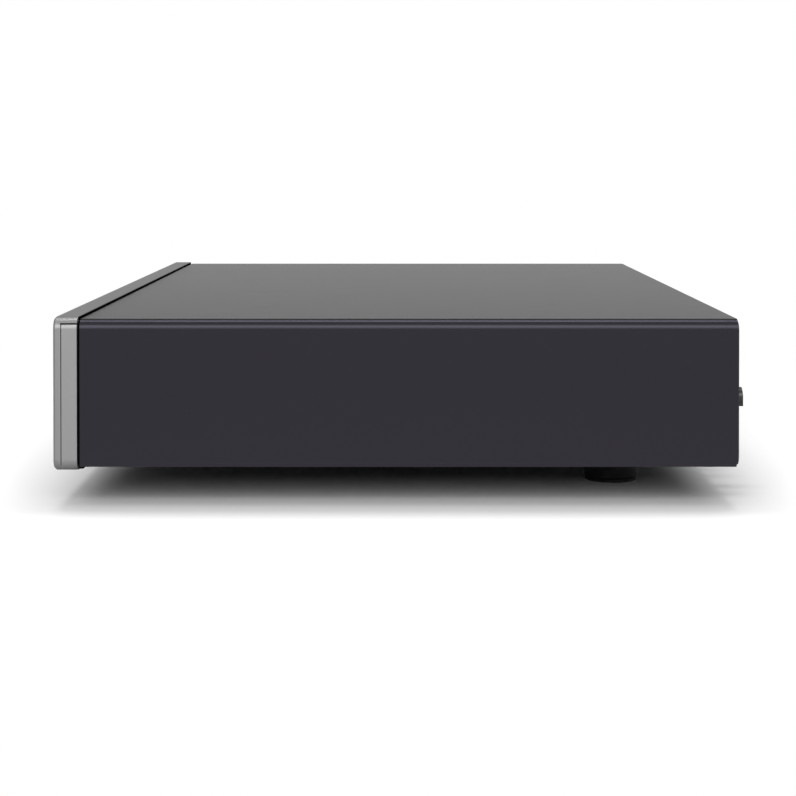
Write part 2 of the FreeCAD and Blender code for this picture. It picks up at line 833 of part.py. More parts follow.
def front_button(label, x, cap, across, rise):
    """A cap flush with the faceplate, joined to a flange behind the plate that holds it in."""
    across = across + s.button_flange
    rise = rise + s.button_flange
    flange = block((x - across, x + across), (plate_back + 0.3, plate_back + 1.3),
                   (s.control_height - rise, s.control_height + rise))
    keep(label, join([cap, flange]))


def front_buttons():
    """The round standby button and the row of oblong transport buttons."""
    through = (front + 0.15, plate_back + 0.4)
    cap = rod("y", (standby_x, s.control_height), through, s.standby_radius)
    front_button("standby_button", standby_x, cap, s.standby_radius, s.standby_radius)
    across = s.button_width / 2
    rise = s.button_height / 2
    for label, x in zip(button_names, button_places):
        cap = block((x - across, x + across), through, (s.control_height - rise, s.control_height + rise))
        front_button(label, x, cap, across, rise)


def feet():
    """One foot in front and two behind, each with a rubber pad let into its underside."""
    places = [(0.0, front + s.front_foot_setback)]
    places += [(side * (half_width - s.rear_foot_inset), rear_face - s.rear_foot_setback) for side in (-1, 1)]
    shells = []
    pads = []
    for place in places:
        points = [(0.0, s.foot_pad_height), (s.foot_radius - 0.7, s.foot_pad_height),
                  (s.foot_radius, s.foot_pad_height + 0.7), (s.foot_radius, base_low), (0.0, base_low)]
        shells.append(turned("foot_body", place, points))
        pads.append(rod("z", place, (0.0, s.foot_pad_height), s.foot_pad_radius))
    keep("feet", group(shells))
    keep("foot_pads", group(pads))


def rack_shape(first, count, module, root, tip_side, low, high, play):
    """Rack teeth along Y; root is the X of the tooth roots, tip_side the sign of X they point to."""
    pitch = math.pi * module
    lean = math.tan(math.radians(20.0))
    rise = 2.05 * module
    at_root = pitch / 4 + 1.25 * module * lean - play / 2
    at_tip = pitch / 4 - 0.8 * module * lean - play / 2
    points = [Vector(root - tip_side * module, first - pitch / 2, low)]
    points.append(Vector(root, first - pitch / 2, low))
    for step in range(count):
        middle = first + pitch * step
        points.append(Vector(root, middle - at_root, low))
        points.append(Vector(root + tip_side * rise, middle - at_tip, low))
        points.append(Vector(root + tip_side * rise, middle + at_tip, low))
        points.append(Vector(root, middle + at_root, low))
    last = first + pitch * (count - 0.5)
    points.append(Vector(root, last, low))
    points.append(Vector(root - tip_side * module, last, low))
    points.append(points[0])
    return Part.Face(Part.makePolygon(points)).extrude(Vector(0, 0, high - low))


def involute_angle(radius, base):
    turn = math.acos(min(1.0, base / radius))
    return math.tan(turn) - turn


# Teeth smaller than this get straight flanks.
FINE_MODULE = 0.9


def gear_shape(place, teeth, module, tooth_angle, low, high, play):
    """Spur gear with involute flanks; tooth_angle is where the middle of one tooth points."""
    teeth = int(round(teeth))
    pitch = teeth * module / 2
    base = pitch * math.cos(math.radians(20.0))
    root = pitch - 1.25 * module
    tip = pitch + 0.8 * module
    half_tooth = math.pi / (2 * teeth) - play / (2 * pitch)
    widest = half_tooth + involute_angle(pitch, base)
    flank = [(root, widest - involute_angle(max(root, base), base))]
    steps = (pitch, tip) if module >= FINE_MODULE else (tip,)
    for radius in steps:
        flank.append((radius, widest - involute_angle(radius, base)))
    points = []
    for tooth in range(teeth):
        middle = tooth_angle + 2 * math.pi * tooth / teeth
        for radius, lean in flank:
            points.append((radius, middle - lean))
        for radius, lean in reversed(flank):
            points.append((radius, middle + lean))
    corners = [Vector(place[0] + radius * math.cos(angle), place[1] + radius * math.sin(angle), low)
               for radius, angle in points]
    corners.append(corners[0])
    return Part.Face(Part.makePolygon(corners)).extrude(Vector(0, 0, high - low))


def set_shape(name, shape):
    item = document.addObject("Part::Feature", name)
    item.Shape = shape
    return item


def disc_tray():
    """Drawer with a large and a small disc recess, a slot open to the rear, side rails and a rack."""
    body = new_body("tray_body")
    pad(body, "XY", (tray_under, tray_top), [rectangle((-tray_half, tray_half), (tray_front, tray_rear))])
    for side in (-1, 1):
        rail = rectangle((side * tray_half, side * (tray_half - s.rail_width)), (tray_front + 6.0, tray_rear))
        pad(body, "XY", (rail_low, tray_under), [rail])
    above = tray_top + 1.0
    centre = (0.0, disc_place)
    pocket(body, "XY", (tray_recess, above), (), [centre + (s.disc_recess_radius,)])
    pocket(body, "XY", (tray_recess - s.small_disc_depth, tray_recess + 0.5), (),
           [centre + (s.small_disc_radius,)])
    scoop = [(side * (s.disc_recess_radius - 8.5), disc_place, 12.0) for side in (-1, 1)]
    pocket(body, "XY", (tray_recess, above), (), scoop)
    pocket(body, "XY", (tray_under - 1.0, above), (), [centre + (s.slot_half_width,)])
    slot = rectangle((-s.slot_half_width, s.slot_half_width), (disc_place, tray_rear + 1.0))
    pocket(body, "XY", (tray_under - 1.0, above), [slot])
    pitch = math.pi * s.gear_module.number
    rear_room = tray_rear.number - gear_line.number - 2.0
    front_room = gear_line.number - tray_front.number - 8.0
    before = int(front_room / pitch - 0.5)
    behind = int(min(rear_room, s.tray_travel.number + 6.0) / pitch - 0.5)
    first = gear_line.number - pitch * (before + 0.5)
    shape = rack_shape(first, before + behind + 2, s.gear_module.number, -rack_root.number, 1,
                       rail_low.number, tray_under.number, s.gear_play.number)
    web = block((-tray_half + s.rail_width - 0.1, -rack_root), (tray_front + 6.0, tray_rear),
                (rail_low, tray_under))
    keep("disc_tray", join([body, web, set_shape("TrayRack", shape)]))


def tray_fascia():
    body = new_body("tray_fascia")
    face = rectangle((-fascia_half, fascia_half), (s.fascia_lift, fascia_top))
    pad(body, "XZ", (front, tray_front), [face])
    soften(body, "Fillet", 0.8,
           corner_edges(X_AXIS, [(None, front, s.fascia_lift), (None, front, fascia_top)]))
    hook = rectangle((-tray_half + 9.0, tray_half - 9.0), (rail_low + 0.5, tray_under))
    pad(body, "XZ", (tray_front, tray_front + 3.0), [hook])
    keep("tray_fascia", body)


def loader_frame():
    """Moulded frame: side walls with runners and hold-down tabs, gear deck, slider guide and pivots."""
    parts = []
    cross = (-loader_inner - 1.0, loader_inner + 1.0)
    for side in (-1, 1):
        inner, outer = side * loader_inner, side * loader_outer
        wall = sorted([inner, outer], key=lambda size: size.number)
        parts.append(block(wall, (loader_front, loader_rear), (loader_low, loader_top)))
        ledge = sorted([side * (loader_inner + 1.0), side * (tray_half - s.rail_width + 0.5)],
                       key=lambda size: size.number)
        parts.append(block(ledge, (loader_front, loader_rear), (ledge_top - 2.4, ledge_top)))
        tab = sorted([side * (loader_inner + 1.0), side * (tray_half - 2.4)], key=lambda size: size.number)
        for place in (loader_front + 1.0, disc_place - 40.0, disc_place + 44.0, loader_rear - 30.0):
            parts.append(block(tab, (place, place + 11.0), (tray_top + s.runner_gap, loader_top - 0.4)))
        lug = sorted([side * (loader_outer - 1.0), side * (loader_outer + 10.0)],
                     key=lambda size: size.number)
        for x, y in loader_post_places()[:2]:
            parts.append(block(lug, (y - 6.0, y + 6.0), (loader_low, loader_low + s.loader_wall)))
        pivot = sorted([side * (cradle_half + 0.5), side * (cradle_half + 5.5)], key=lambda size: size.number)
        parts.append(block(pivot, (pivot_y - 6.0, loader_rear - 5.0), (pin_height - 7.0, pin_height + 6.0)))
        strut = sorted([side * (cradle_half + 4.5), side * (loader_inner + 1.0)],
                       key=lambda size: size.number)
        parts.append(block(strut, (pivot_y - 3.0, pivot_y), (pin_height - 5.0, pin_height + 4.0)))
    parts.append(block(cross, (loader_front, deck_rear), (deck_low, deck_top)))
    parts.append(block(cross, (loader_front, loader_front + 2.5), (deck_low - 8.0, deck_top + 0.8)))
    parts.append(block(cross, (loader_rear - 6.0, loader_rear), (pin_height - 8.0, ledge_top)))
    guide_low = slider_low() - s.runner_gap
    parts.append(block(cross, (deck_rear, slider_front - 0.2), (guide_low - 2.4, deck_top)))
    parts.append(block(cross, (slider_front - 1.2, slider_back + 1.8), (guide_low - 2.4, guide_low)))
    parts.append(block(cross, (slider_back + 0.3, slider_back + 1.8), (guide_low - 2.4, guide_low + 3.0)))
    for x in (drive_gear_x, pulley_gear_x):
        parts.append(rod("z", (x, gear_line), (deck_low + 1.0, gear_high + 0.3), s.axle_radius))
    tools = [rod("z", (loading_motor_x, gear_line), (deck_low - 1.0, deck_top + 1.0),
                 s.spindle_radius + 0.6)]
    reach = cradle_half + 10.0
    for side in (-1, 1):
        span = (-reach, -cradle_half) if side < 0 else (cradle_half, reach)
        tools.append(rod("x", (pivot_y, pin_height), span, s.pin_radius + s.running_gap))
    keep("loader_frame", cut(join(parts), tools))


def slider_low():
    return pin_height - front_pin_drop - s.pin_radius - 3.2


def cam_slider():
    """Upright sliding plate whose two sloping slots carry the lift's front pins."""
    body = new_body("cam_slider")
    high = pin_height + s.pin_radius + 2.3
    left = -s.pin_distance - s.slider_travel - 5.0
    pad(body, "XZ", (slider_front, slider_back),
        [rectangle((left, s.pin_distance + 6.0), (slider_low(), high))])
    slots = []
    gap = s.pin_radius + 0.25
    for x in (-s.pin_distance, s.pin_distance):
        slope = front_pin_drop.number / s.slider_travel.number
        reach = gap * math.sqrt(1 + slope * slope)
        right = x + gap + 0.4
        far = x - s.slider_travel - gap - 0.4
        rise = front_pin_drop / s.slider_travel
        slots.append([(right, pin_height + reach + (gap + 0.4) * rise),
                      (far, pin_height + reach - (s.slider_travel + gap + 0.4) * rise),
                      (far, pin_height - reach - (s.slider_travel + gap + 0.4) * rise),
                      (right, pin_height - reach + (gap + 0.4) * rise)])
    pocket(body, "XZ", (slider_front - 1.0, slider_back + 1.0), slots)
    keep("cam_slider", body)


def standoffs():
    """Six-sided steel posts under the loader and under the boards."""
    posts = [prism("z", place, (base_top, loader_low), s.post_radius, 6) for place in loader_post_places()]
    posts += [prism("z", place, (base_top, board_low), s.standoff_radius, 6) for place in standoff_places()]
    keep("standoffs", group(posts))


def gear(label, place, low_parts, teeth, module, angle, low, high, bore, play):
    """A gear with its bore cut and its hub or wheel joined on."""
    centre = (place[0].number, place[1].number)
    toothed = set_shape(label + "_Teeth", gear_shape(centre, teeth.number, module.number, angle,
                                                     low.number, high.number, play.number))
    solid = join([toothed] + low_parts)
    bottom = deck_low - 30.0
    return keep(label, cut(solid, [rod("z", place, (bottom, gear_high + 20.0), bore)]))


def mesh_angle(first_place, second_place, first_angle, first_radius, second_radius, second_teeth):
    """The tooth direction that puts the second gear in mesh with the first."""
    across = second_place[0] - first_place[0]
    up = second_place[1] - first_place[1]
    towards = math.atan2(up, across)
    lead = first_angle - towards
    gap = towards + math.pi - lead * first_radius / second_radius
    return gap + math.pi / second_teeth


def grooved_rim(radius):
    """Profile of a belt wheel's rim with its V groove, from below."""
    middle = (pulley_low + pulley_high) / 2
    return [(radius, pulley_low), (radius - s.groove_depth, middle), (radius, pulley_high)]


def loading_gears():
    """Motor pulley, belt wheel with pinion and drive gear, in mesh with the tray's rack."""
    bore = s.axle_radius + s.running_gap
    drive_place = (drive_gear_x, gear_line)
    wheel_place = (pulley_gear_x, gear_line)
    hub = rod("z", drive_place, (deck_top + 0.2, gear_low), s.axle_radius + 2.0)
    gear("tray_drive_gear", drive_place, [hub], s.drive_gear_teeth, s.gear_module, math.pi,
         gear_low, gear_high, bore, s.gear_play)
    angle = mesh_angle([size.number for size in drive_place], [size.number for size in wheel_place],
                       math.pi, drive_gear_radius.number, pulley_pinion_radius.number,
                       s.pulley_pinion_teeth.number)
    wheel = turned("BeltWheel", wheel_place,
                   [(0.0, pulley_low)] + grooved_rim(s.pulley_radius) + [(0.0, pulley_high)])
    gear("pulley_gear", wheel_place, [wheel], s.pulley_pinion_teeth, s.gear_module, angle,
         pulley_high - 0.1, gear_high, bore, s.gear_play)
    motor_place = (loading_motor_x, gear_line)
    foot = deck_low + s.running_gap
    shaft = prism("z", motor_place, (foot, pulley_low + 0.1), s.spindle_radius, SMALL_SIDES)
    rim = turned("motor_pulley_rim", motor_place,
                 [(0.0, pulley_low)] + grooved_rim(s.motor_pulley_radius) + [(0.0, pulley_high)])
    keep("motor_pulley", join([shaft, rim]))
    keep("loading_motor", prism("z", motor_place, (deck_low - s.loading_motor_length, deck_low),
                                s.loading_motor_radius, CAN_SIDES))


def loading_belt():
    """Square rubber belt: two runs tangent to two round stretches."""
    near = s.motor_pulley_radius.number - belt_seat.number
    far = s.pulley_radius.number - belt_seat.number
    width = s.belt_width.number
    level = belt_low.number
    centre_far = Vector(pulley_gear_x.number, gear_line.number, level)
    centre_near = Vector(loading_motor_x.number, gear_line.number, level)
    distance = centre_near.x - centre_far.x

    def outline(extra):
        big, small = far + extra, near + extra
        turn = math.acos((big - small) / distance)
        up = Vector(math.cos(turn), math.sin(turn), 0)
        down = Vector(math.cos(turn), -math.sin(turn), 0)
        upper = Part.LineSegment(centre_far + up * big, centre_near + up * small)
        lower = Part.LineSegment(centre_near + down * small, centre_far + down * big)
        nose = Part.Arc(upper.EndPoint, centre_near + Vector(small, 0, 0), lower.StartPoint)
        tail = Part.Arc(lower.EndPoint, centre_far - Vector(big, 0, 0), upper.StartPoint)
        return Part.Wire([item.toShape() for item in (upper, nose, lower, tail)])

    face = Part.Face(outline(width)).cut(Part.Face(outline(0.0)))
    keep("loading_belt", set_shape("loading_belt", face.extrude(Vector(0, 0, s.belt_width.number))))


def lift_cradle():
    """Ring that swings on two rear pins and rides on two front pins in the cam slots."""
    parts = []
    ring = cut(block((-cradle_half, cradle_half), (cradle_front, cradle_rear), (cradle_low, cradle_top)),
               [block((-cradle_inner, cradle_inner),
                      (cradle_front + s.cradle_wall, cradle_rear - s.cradle_wall),
                      (cradle_low - 1.0, cradle_top + 1.0))])
    parts.append(ring)
    for x in (-damper_x, damper_x):
        for y in (damper_front, damper_rear):
            parts.append(block((x - 5.2, x + 5.2), (y - 5.2, y + 5.2), (cradle_top - 3.0, cradle_top)))
    pin = (slider_front + 0.2, cradle_front + 1.0)
    for x in (-s.pin_distance, s.pin_distance):
        parts.append(rod("y", (x, pin_height), pin, s.pin_radius))
    reach = cradle_half + 4.5
    for span in ((-reach, 1.0 - cradle_half), (cradle_half - 1.0, reach)):
        parts.append(rod("x", (pivot_y, pin_height), span, s.pin_radius))
    keep("lift_cradle", join(parts))


def traverse():
    """Steel plate on four rubber bushes: carries the spindle motor, guide rods and sled drive."""
    places = [(x, y) for x in (-damper_x, damper_x) for y in (damper_front, damper_rear)]
    keep("damper_bushes", group([prism("z", place, (cradle_top, plate_low), s.damper_radius, SMALL_SIDES)
                                 for place in places]))

    half = cradle_inner - 0.4
    rear = cradle_rear - 3.5
    body = new_body("traverse_sheet_body")
    pad(body, "XY", (plate_low, plate_high), [rectangle((-half, half), (cradle_front + 1.0, rear))])
    window = rectangle((-s.rod_place - 3.2, s.rod_place + 3.2), (rod_front + 2.8, rod_rear - 2.8))
    pocket(body, "XY", (plate_low - 1.0, plate_high + 1.0), [window],
           [(0.0, disc_place, s.spindle_radius + 0.6)])
    parts = [body]
    for x in (-s.rod_place, s.rod_place):
        for y in (rod_front, rod_rear - 2.8):
            parts.append(block((x - 2.0, x + 2.0), (y, y + 2.8),
                               (rod_height - s.rod_radius - 1.0, plate_low)))
    parts.append(rod("z", (sled_gear_x, sled_gear_y), (sled_rack_low - 0.3, plate_low), 1.2))
    edge = sled_motor_y - 7.1
    parts.append(block((sled_gear_x - 3.5, sled_gear_x + 6.5), (edge - 1.5, edge),
                       (plate_low - 11.5, plate_low)))
    saddle = s.rod_radius + 0.04
    tools = [block((x - saddle, x + saddle), (rod_front - 1.0, rod_rear + 1.0),
                   (rod_height - saddle, plate_low)) for x in (-s.rod_place, s.rod_place)]
    keep("traverse_plate", cut(join(parts), tools))

    rods = [rod("y", (x, rod_height), (rod_front, rod_rear), s.rod_radius)
            for x in (-s.rod_place, s.rod_place)]
    keep("guide_rods", group(rods))
    keep("spindle_motor", prism("z", (0.0, disc_place), (plate_low - s.spindle_motor_length, plate_low),
                                s.spindle_motor_radius, CAN_SIDES))


def turntable():
    low = disc_seat - 3.2
    foot = plate_low + s.running_gap
    hub = s.disc_bore_radius
    centre = (0.0, disc_place)
    shaft = prism("z", centre, (foot, low + 0.1), s.spindle_radius, SMALL_SIDES)
    plate = turned("turntable_plate", centre, [
        (0.0, low), (s.turntable_radius, low), (s.turntable_radius, disc_seat), (hub, disc_seat),
        (hub - 1.2, disc_seat + 2.0), (0.0, disc_seat + 2.0)])
    keep("turntable", join([shaft, plate]))


def clamp():
    """Steel bridge over the tray with the free clamping puck in its middle."""
    body = new_body("clamp_bridge")
    reach = s.bridge_length / 2
    narrow = reach - 3.0
    outer = loader_outer
    outline = [(-outer, disc_place - reach), (-outer + 14.0, disc_place - reach),
               (-outer + 20.0, disc_place - narrow), (outer - 20.0, disc_place - narrow),
               (outer - 14.0, disc_place - reach), (outer, disc_place - reach),
               (outer, disc_place + reach), (outer - 14.0, disc_place + reach),
               (outer - 20.0, disc_place + narrow), (-outer + 20.0, disc_place + narrow),
               (-outer + 14.0, disc_place + reach), (-outer, disc_place + reach)]
    pad(body, "XY", (loader_top, bridge_top), [outline])
    pocket(body, "XY", (loader_top - 1.0, bridge_top + 1.0), (), [(0.0, disc_place, 12.6)])
    for side in (-1, 1):
        edge = disc_place + side * narrow
        fold = rectangle((-outer + 20.0, outer - 20.0), (edge, edge - side * s.bridge_sheet))
        pad(body, "XY", (bridge_top, bridge_top + 3.0), [fold])
    keep("clamp_bridge", body)
    low = loader_top - 1.8
    centre = (0.0, disc_place)
    neck = prism("z", centre, (low, bridge_top + 0.4), 12.0, CAN_SIDES)
    rim = prism("z", centre, (bridge_top + 0.3, bridge_top + 1.6), 16.0, CAN_SIDES)
    pip = rod("z", centre, (bridge_top + 1.5, bridge_top + 2.4), 2.5)
    hollow = prism("z", centre, (low - 1.0, loader_top + 0.4), s.disc_bore_radius + 1.2, CAN_SIDES)
    keep("disc_clamper", cut(join([neck, rim, pip]), [hollow]))


def optical_pickup():
    """Die-cast sled, bored for one guide rod and forked for the other, with lens well and rack."""
    body = new_body("pickup_body")
    back = lens_y + 15.5
    face = lens_y - 10.5
    top = plate_high + 3.0
    pad(body, "XY", (plate_low - 4.5, top), [rectangle((-19.0, 19.0), (face, back))])
    pad(body, "XY", (top, top + 3.5), [rectangle((-14.0, 14.0), (lens_y - 8.0, lens_y + 10.0))])
    soften(body, "Chamfer", 1.0, lambda edge: runs_along(edge, Z_AXIS))
    arm_low = rod_height - s.rod_radius - 0.7
    arm_high = rod_height + s.rod_radius + 0.7
    reach = s.rod_place + 2.4
    for side in (-1, 1):
        arm = rectangle((side * 18.0, side * reach), (face + 2.5, back - 2.5))
        pad(body, "XY", (arm_low, arm_high), [arm])
    pocket(body, "XY", (top + 0.5, top + 4.0), (), [(0.0, lens_y, s.lens_radius + 0.5)])
    slip = s.rod_radius + s.running_gap
    bore = rod("y", (s.rod_place, rod_height), (face - 1.0, back + 1.0), slip)
    fork = block((-reach - 1.0, slip - s.rod_place), (face - 1.0, back + 1.0),
                 (rod_height - slip, rod_height + slip))
    bored = cut(body, [bore, fork])
    web = block((reach - 0.2, sled_rack_root), (sled_gear_y - s.pickup_travel - 4.0, sled_gear_y + 4.0),
                (sled_rack_low, sled_rack_high))
    pitch = math.pi * s.sled_module.number
    before = int((s.pickup_travel.number + 3.0) / pitch)
    first = sled_gear_y.number - pitch * (before + 0.5)
    teeth = rack_shape(first, before + 3, s.sled_module.number, sled_rack_root.number, 1,
                       sled_rack_low.number, sled_rack_high.number, s.sled_play.number)
    keep("optical_pickup", join([bored, web, set_shape("SledRack", teeth)]))
    keep("objective_lens", prism("z", (0.0, lens_y), (top + 1.1, top + 4.3), s.lens_radius, CAN_SIDES))


def sled_drive():
    gear_place = (sled_gear_x, sled_gear_y)
    motor_place = (sled_gear_x, sled_motor_y)
    split = sled_rack_high + 0.3
    high = plate_low - 0.3
    large_angle = math.pi / 2
    large = set_shape("SledLarge", gear_shape([size.number for size in gear_place], s.sled_large_teeth.number,
                                              s.sled_module.number, large_angle, split.number, high.number,
                                              s.sled_play.number))
    gear("sled_gear", gear_place, [large], s.sled_small_teeth, s.sled_module, math.pi,
         sled_rack_low, split + 0.1, 1.2 + s.running_gap, s.sled_play)
    angle = mesh_angle([size.number for size in gear_place], [size.number for size in motor_place],
                       large_angle, sled_large_radius.number, sled_pinion_radius.number,
                       s.sled_pinion_teeth.number)
    pinion = set_shape("SledPinionTeeth", gear_shape([size.number for size in motor_place],
                                                     s.sled_pinion_teeth.number, s.sled_module.number, angle,
                                                     split.number, high.number, s.sled_play.number))
    can_top = sled_rack_low - 0.4
    shaft = rod("z", motor_place, (can_top + s.running_gap, split + 0.1), 0.8)
    keep("sled_pinion", join([pinion, shaft]))
    keep("sled_motor", prism("z", motor_place, (can_top - 9.0, can_top), 7.0, CAN_SIDES))


def ribbon_place():
    return board_right - 40.0


# Chips: place from the main board's front left corner, width, length and height.
CHIPS = ((70.0, 36.0, 14.0, 14.0, 1.6), (40.0, 60.0, 20.0, 12.0, 2.2), (104.0, 62.0, 10.0, 10.0, 1.4),
         (128.0, 34.0, 8.0, 12.0, 1.4))

# Capacitors: place from the main board's front left corner, radius and height.
MAIN_CANS = ((20.0, 18.0, 4.0, 11.0), (32.0, 18.0, 4.0, 11.0), (20.0, 32.0, 3.2, 9.0), (90.0, 40.0, 2.6, 7.0))

# The supply board's large capacitors: place from its front left corner.
SUPPLY_CANS = ((24.0, 66.0), (48.0, 66.0))


def boards():
    """Main board with its soldered chips and ribbon socket, supply board and capacitors."""
    keep("power_supply_board", block((supply_left, supply_right), (board_front, board_rear),
                                     (board_low, board_top)))
    middle = ribbon_place()
    socket = s.ribbon_width / 2 + 2.0
    parts = [block((board_left, board_right), (board_front, board_rear), (board_low, board_top)),
             block((middle - socket, middle + socket), (board_front + 12.0, board_front + 18.0),
                   (board_top, ribbon_foot))]
    for x, y, width, length, rise in CHIPS:
        left = board_left + x
        near = board_front + y
        parts.append(block((left, left + width), (near, near + length), (board_top, board_top + rise)))
    keep("main_board", group(parts))
    cans = [prism("z", (board_left + x, board_front + y), (board_top, board_top + rise), radius, SMALL_SIDES)
            for x, y, radius, rise in MAIN_CANS]
    cans += [prism("z", (supply_left + x, board_front + y), (board_top, board_top + s.supply_can_height),
                   s.supply_can_radius, CAN_SIDES) for x, y in SUPPLY_CANS]
    keep("capacitors", group(cans))


def ribbon_cable():
    """Flat cable from the control board's header, bent down once into the main board's socket."""
    body = new_body("ribbon_cable")
    half = s.ribbon_width / 2
    middle = ribbon_place()
    high = s.control_height + 10.0
    low = high - s.ribbon_thickness
    start = case_front + 3.5
    near = board_front + 15.0 - s.ribbon_thickness / 2
    far = near + s.ribbon_thickness
    bend = [(start, high), (far, high), (far, ribbon_foot), (near, ribbon_foot), (near, low), (start, low)]
    pad(body, "YZ", (middle - half, middle + half), [bend])
    soften(body, "Fillet", 3.2 + s.ribbon_thickness, corner_edges(X_AXIS, [(None, far, high)]))
    soften(body, "Fillet", 3.2, corner_edges(X_AXIS, [(None, near, low)]))
    keep("ribbon_cable", body)


SINK_FINS = 7


def heat_sink():
    """Finned extrusion that cools the regulators: a web with its fins pointing back."""
    body = new_body("heat_sink")
    left = supply_left + s.sink_place
    near = board_front + s.sink_setback
    root = near + s.sink_web
    tip = near + s.fin_length
    width = s.fin_pitch * (SINK_FINS - 1) + s.fin_thickness
    outline = [(left, near), (left + width, near)]
    for step in reversed(range(SINK_FINS)):
        fin = left + s.fin_pitch * step
        outline += [(fin + s.fin_thickness, tip), (fin, tip)]
        if step:
            outline += [(fin, root), (fin - s.fin_pitch + s.fin_thickness, root)]
    pad(body, "XY", (board_top, board_top + s.sink_height), [outline])
    keep("heat_sink", body)


def transformer():
    """Frame-type mains transformer: stacked core with the winding round its middle leg."""
    middle = -(case_half + loader_outer) / 2 - s.transformer_shift
    centre = disc_place + s.transformer_setback
    low = base_top + s.strap_sheet
    high = low + s.core_height
    half = s.core_width / 2
    stack = s.core_stack / 2
    leg = s.core_leg / 2
    edge = leg + s.core_window
    core = block((middle - half, middle + half), (centre - stack, centre + stack), (low, high))
    windows = [block((middle + left, middle + right), (centre - stack - 1.0, centre + stack + 1.0),
                     (low + s.core_yoke, high - s.core_yoke)) for left, right in ((-edge, -leg), (leg, edge))]
    foot = s.strap_width / 2
    strap = block((middle - foot, middle + foot), (centre - stack, centre + stack), (base_top, low))
    keep("transformer_core", join([cut(core, windows), strap]))
    gap = s.coil_clearance
    reach = s.coil_length / 2
    coil = block((middle - edge + gap, middle + edge - gap), (centre - reach, centre + reach),
                 (low + s.core_yoke + gap, high - s.core_yoke - gap))
    hole = block((middle - leg - gap, middle + leg + gap), (centre - stack - gap, centre + stack + gap),
                 (low + s.core_yoke - 1.0, high - s.core_yoke + 1.0))
    keep("transformer_winding", cut(coil, [hole]))


def phono_jacks():
    """Digital output and two control sockets: housing, square shoulder and bored barrel each."""
    jacks = []
    for x in (coax_x, bus_x, bus_x - s.bus_pitch):
        case = block((x - 5.0, x + 5.0), (board_rear - 12.0, rear_inner - 0.1), (board_top, coax_z + 6.0))
        shoulder = block((x - s.coax_shoulder, x + s.coax_shoulder), (rear_inner - 0.5, rear_face + 0.6),
                         (coax_z - s.coax_shoulder, coax_z + s.coax_shoulder))
        barrel = rod("y", (x, coax_z), (rear_face + 0.5, rear_face + s.coax_reach), s.coax_radius)
        bore = prism("y", (x, coax_z), (rear_face + 0.5, rear_face + s.coax_reach + 1.0),
                     s.coax_bore_radius, SMALL_SIDES)
        jacks.append(cut(join([case, shoulder, barrel]), [bore]))
    keep("phono_jacks", group(jacks))


def optical_output():
    """Optical socket with its push-in dust cap."""
    x, z = optical_x, optical_z
    nose = rear_face + 1.6
    case = join([block((x - 6.8, x + 6.8), (board_rear - 12.0, rear_inner - 0.1), (board_top, z + 5.6)),
                 block((x - 4.9, x + 4.9), (rear_inner - 1.0, nose), (z - 4.6, z + 4.9))])
    keep("optical_output", cut(case, [block((x - 3.6, x + 3.6), (rear_face - 7.0, nose + 1.0),
                                            (z - 3.4, z + 3.6))]))
    plug = block((x - 3.3, x + 3.3), (rear_face - 6.0, nose + 0.5), (z - 3.1, z + 3.3))
    brim = block((x - 4.6, x + 4.6), (nose + 0.2, nose + 1.8), (z - 4.3, z + 4.6))
    grip = block((x - 3.2, x + 3.2), (nose + 1.7, rear_face + s.dust_cap_reach), (z - 2.9, z + 2.9))
    keep("dust_cap", join([plug, brim, grip]))


def small_sockets():
    """Remote-control jack and serial port."""
    x, z = infrared_x, infrared_z
    case = block((x - 5.5, x + 5.5), (board_rear - 12.0, rear_inner - 0.1), (board_top, z + 5.5))
    sleeve = rod("y", (x, z), (rear_inner - 0.5, rear_face + 1.5), 3.0)
    bore = rod("y", (x, z), (board_rear - 10.5, rear_face + 2.5), s.jack_bore_radius)
    keep("infrared_jack", cut(join([case, sleeve]), [bore]))

    body = new_body("serial_shell")
    x, z = serial_x, serial_z
    shell = [(x - 9.0, z + 4.7), (x + 9.0, z + 4.7), (x + 7.6, z - 4.7), (x - 7.6, z - 4.7)]
    pad(body, "XZ", (rear_inner - 3.0, rear_face + 5.5), [shell])
    soften(body, "Fillet", 1.6, lambda edge: runs_along(edge, Y_AXIS))
    parts = [body, block((x - 15.5, x + 15.5), (board_rear - 8.0, rear_inner - 0.1),
                         (board_top, z + 6.2))]
    for side in (-1, 1):
        parts.append(prism("y", (x + side * 12.5, z), (rear_inner - 0.5, rear_face + 5.0), 2.8, 6))
    keep("serial_port", join(parts))


def mains_inlet():
    """Three-pin appliance inlet: flange, body with its cavity, and the pins."""
    x, z = inlet_x, s.mains_height
    mouth = rear_face + 2.5
    flange = new_body("inlet_flange")
    ears = [(x - 24.5, z - 5.0), (x - 14.5, z - 11.5), (x + 14.5, z - 11.5), (x + 24.5, z - 5.0),
            (x + 24.5, z + 5.0), (x + 14.5, z + 11.5), (x - 14.5, z + 11.5), (x - 24.5, z + 5.0)]
    pad(flange, "XZ", (rear_face, mouth), [ears])
    case = block((x - 13.9, x + 13.9), (rear_face - s.inlet_depth, rear_face + 0.5),
                 (z - 10.0, z + 10.0))
    cavity = block((x - 12.1, x + 12.1), (mouth - 16.0, mouth + 1.0), (z - 8.3, z + 8.3))
    keep("mains_inlet", cut(join([flange, case]), [cavity]))
    pins = []
    for across, up in ((-7.0, -2.0), (7.0, -2.0), (0.0, 2.0)):
        pins.append(block((x + across - 1.0, x + across + 1.0), (mouth - 16.0, mouth - 4.6),
                          (z + up - 2.0, z + up + 2.0)))
    keep("inlet_pins", group(pins))


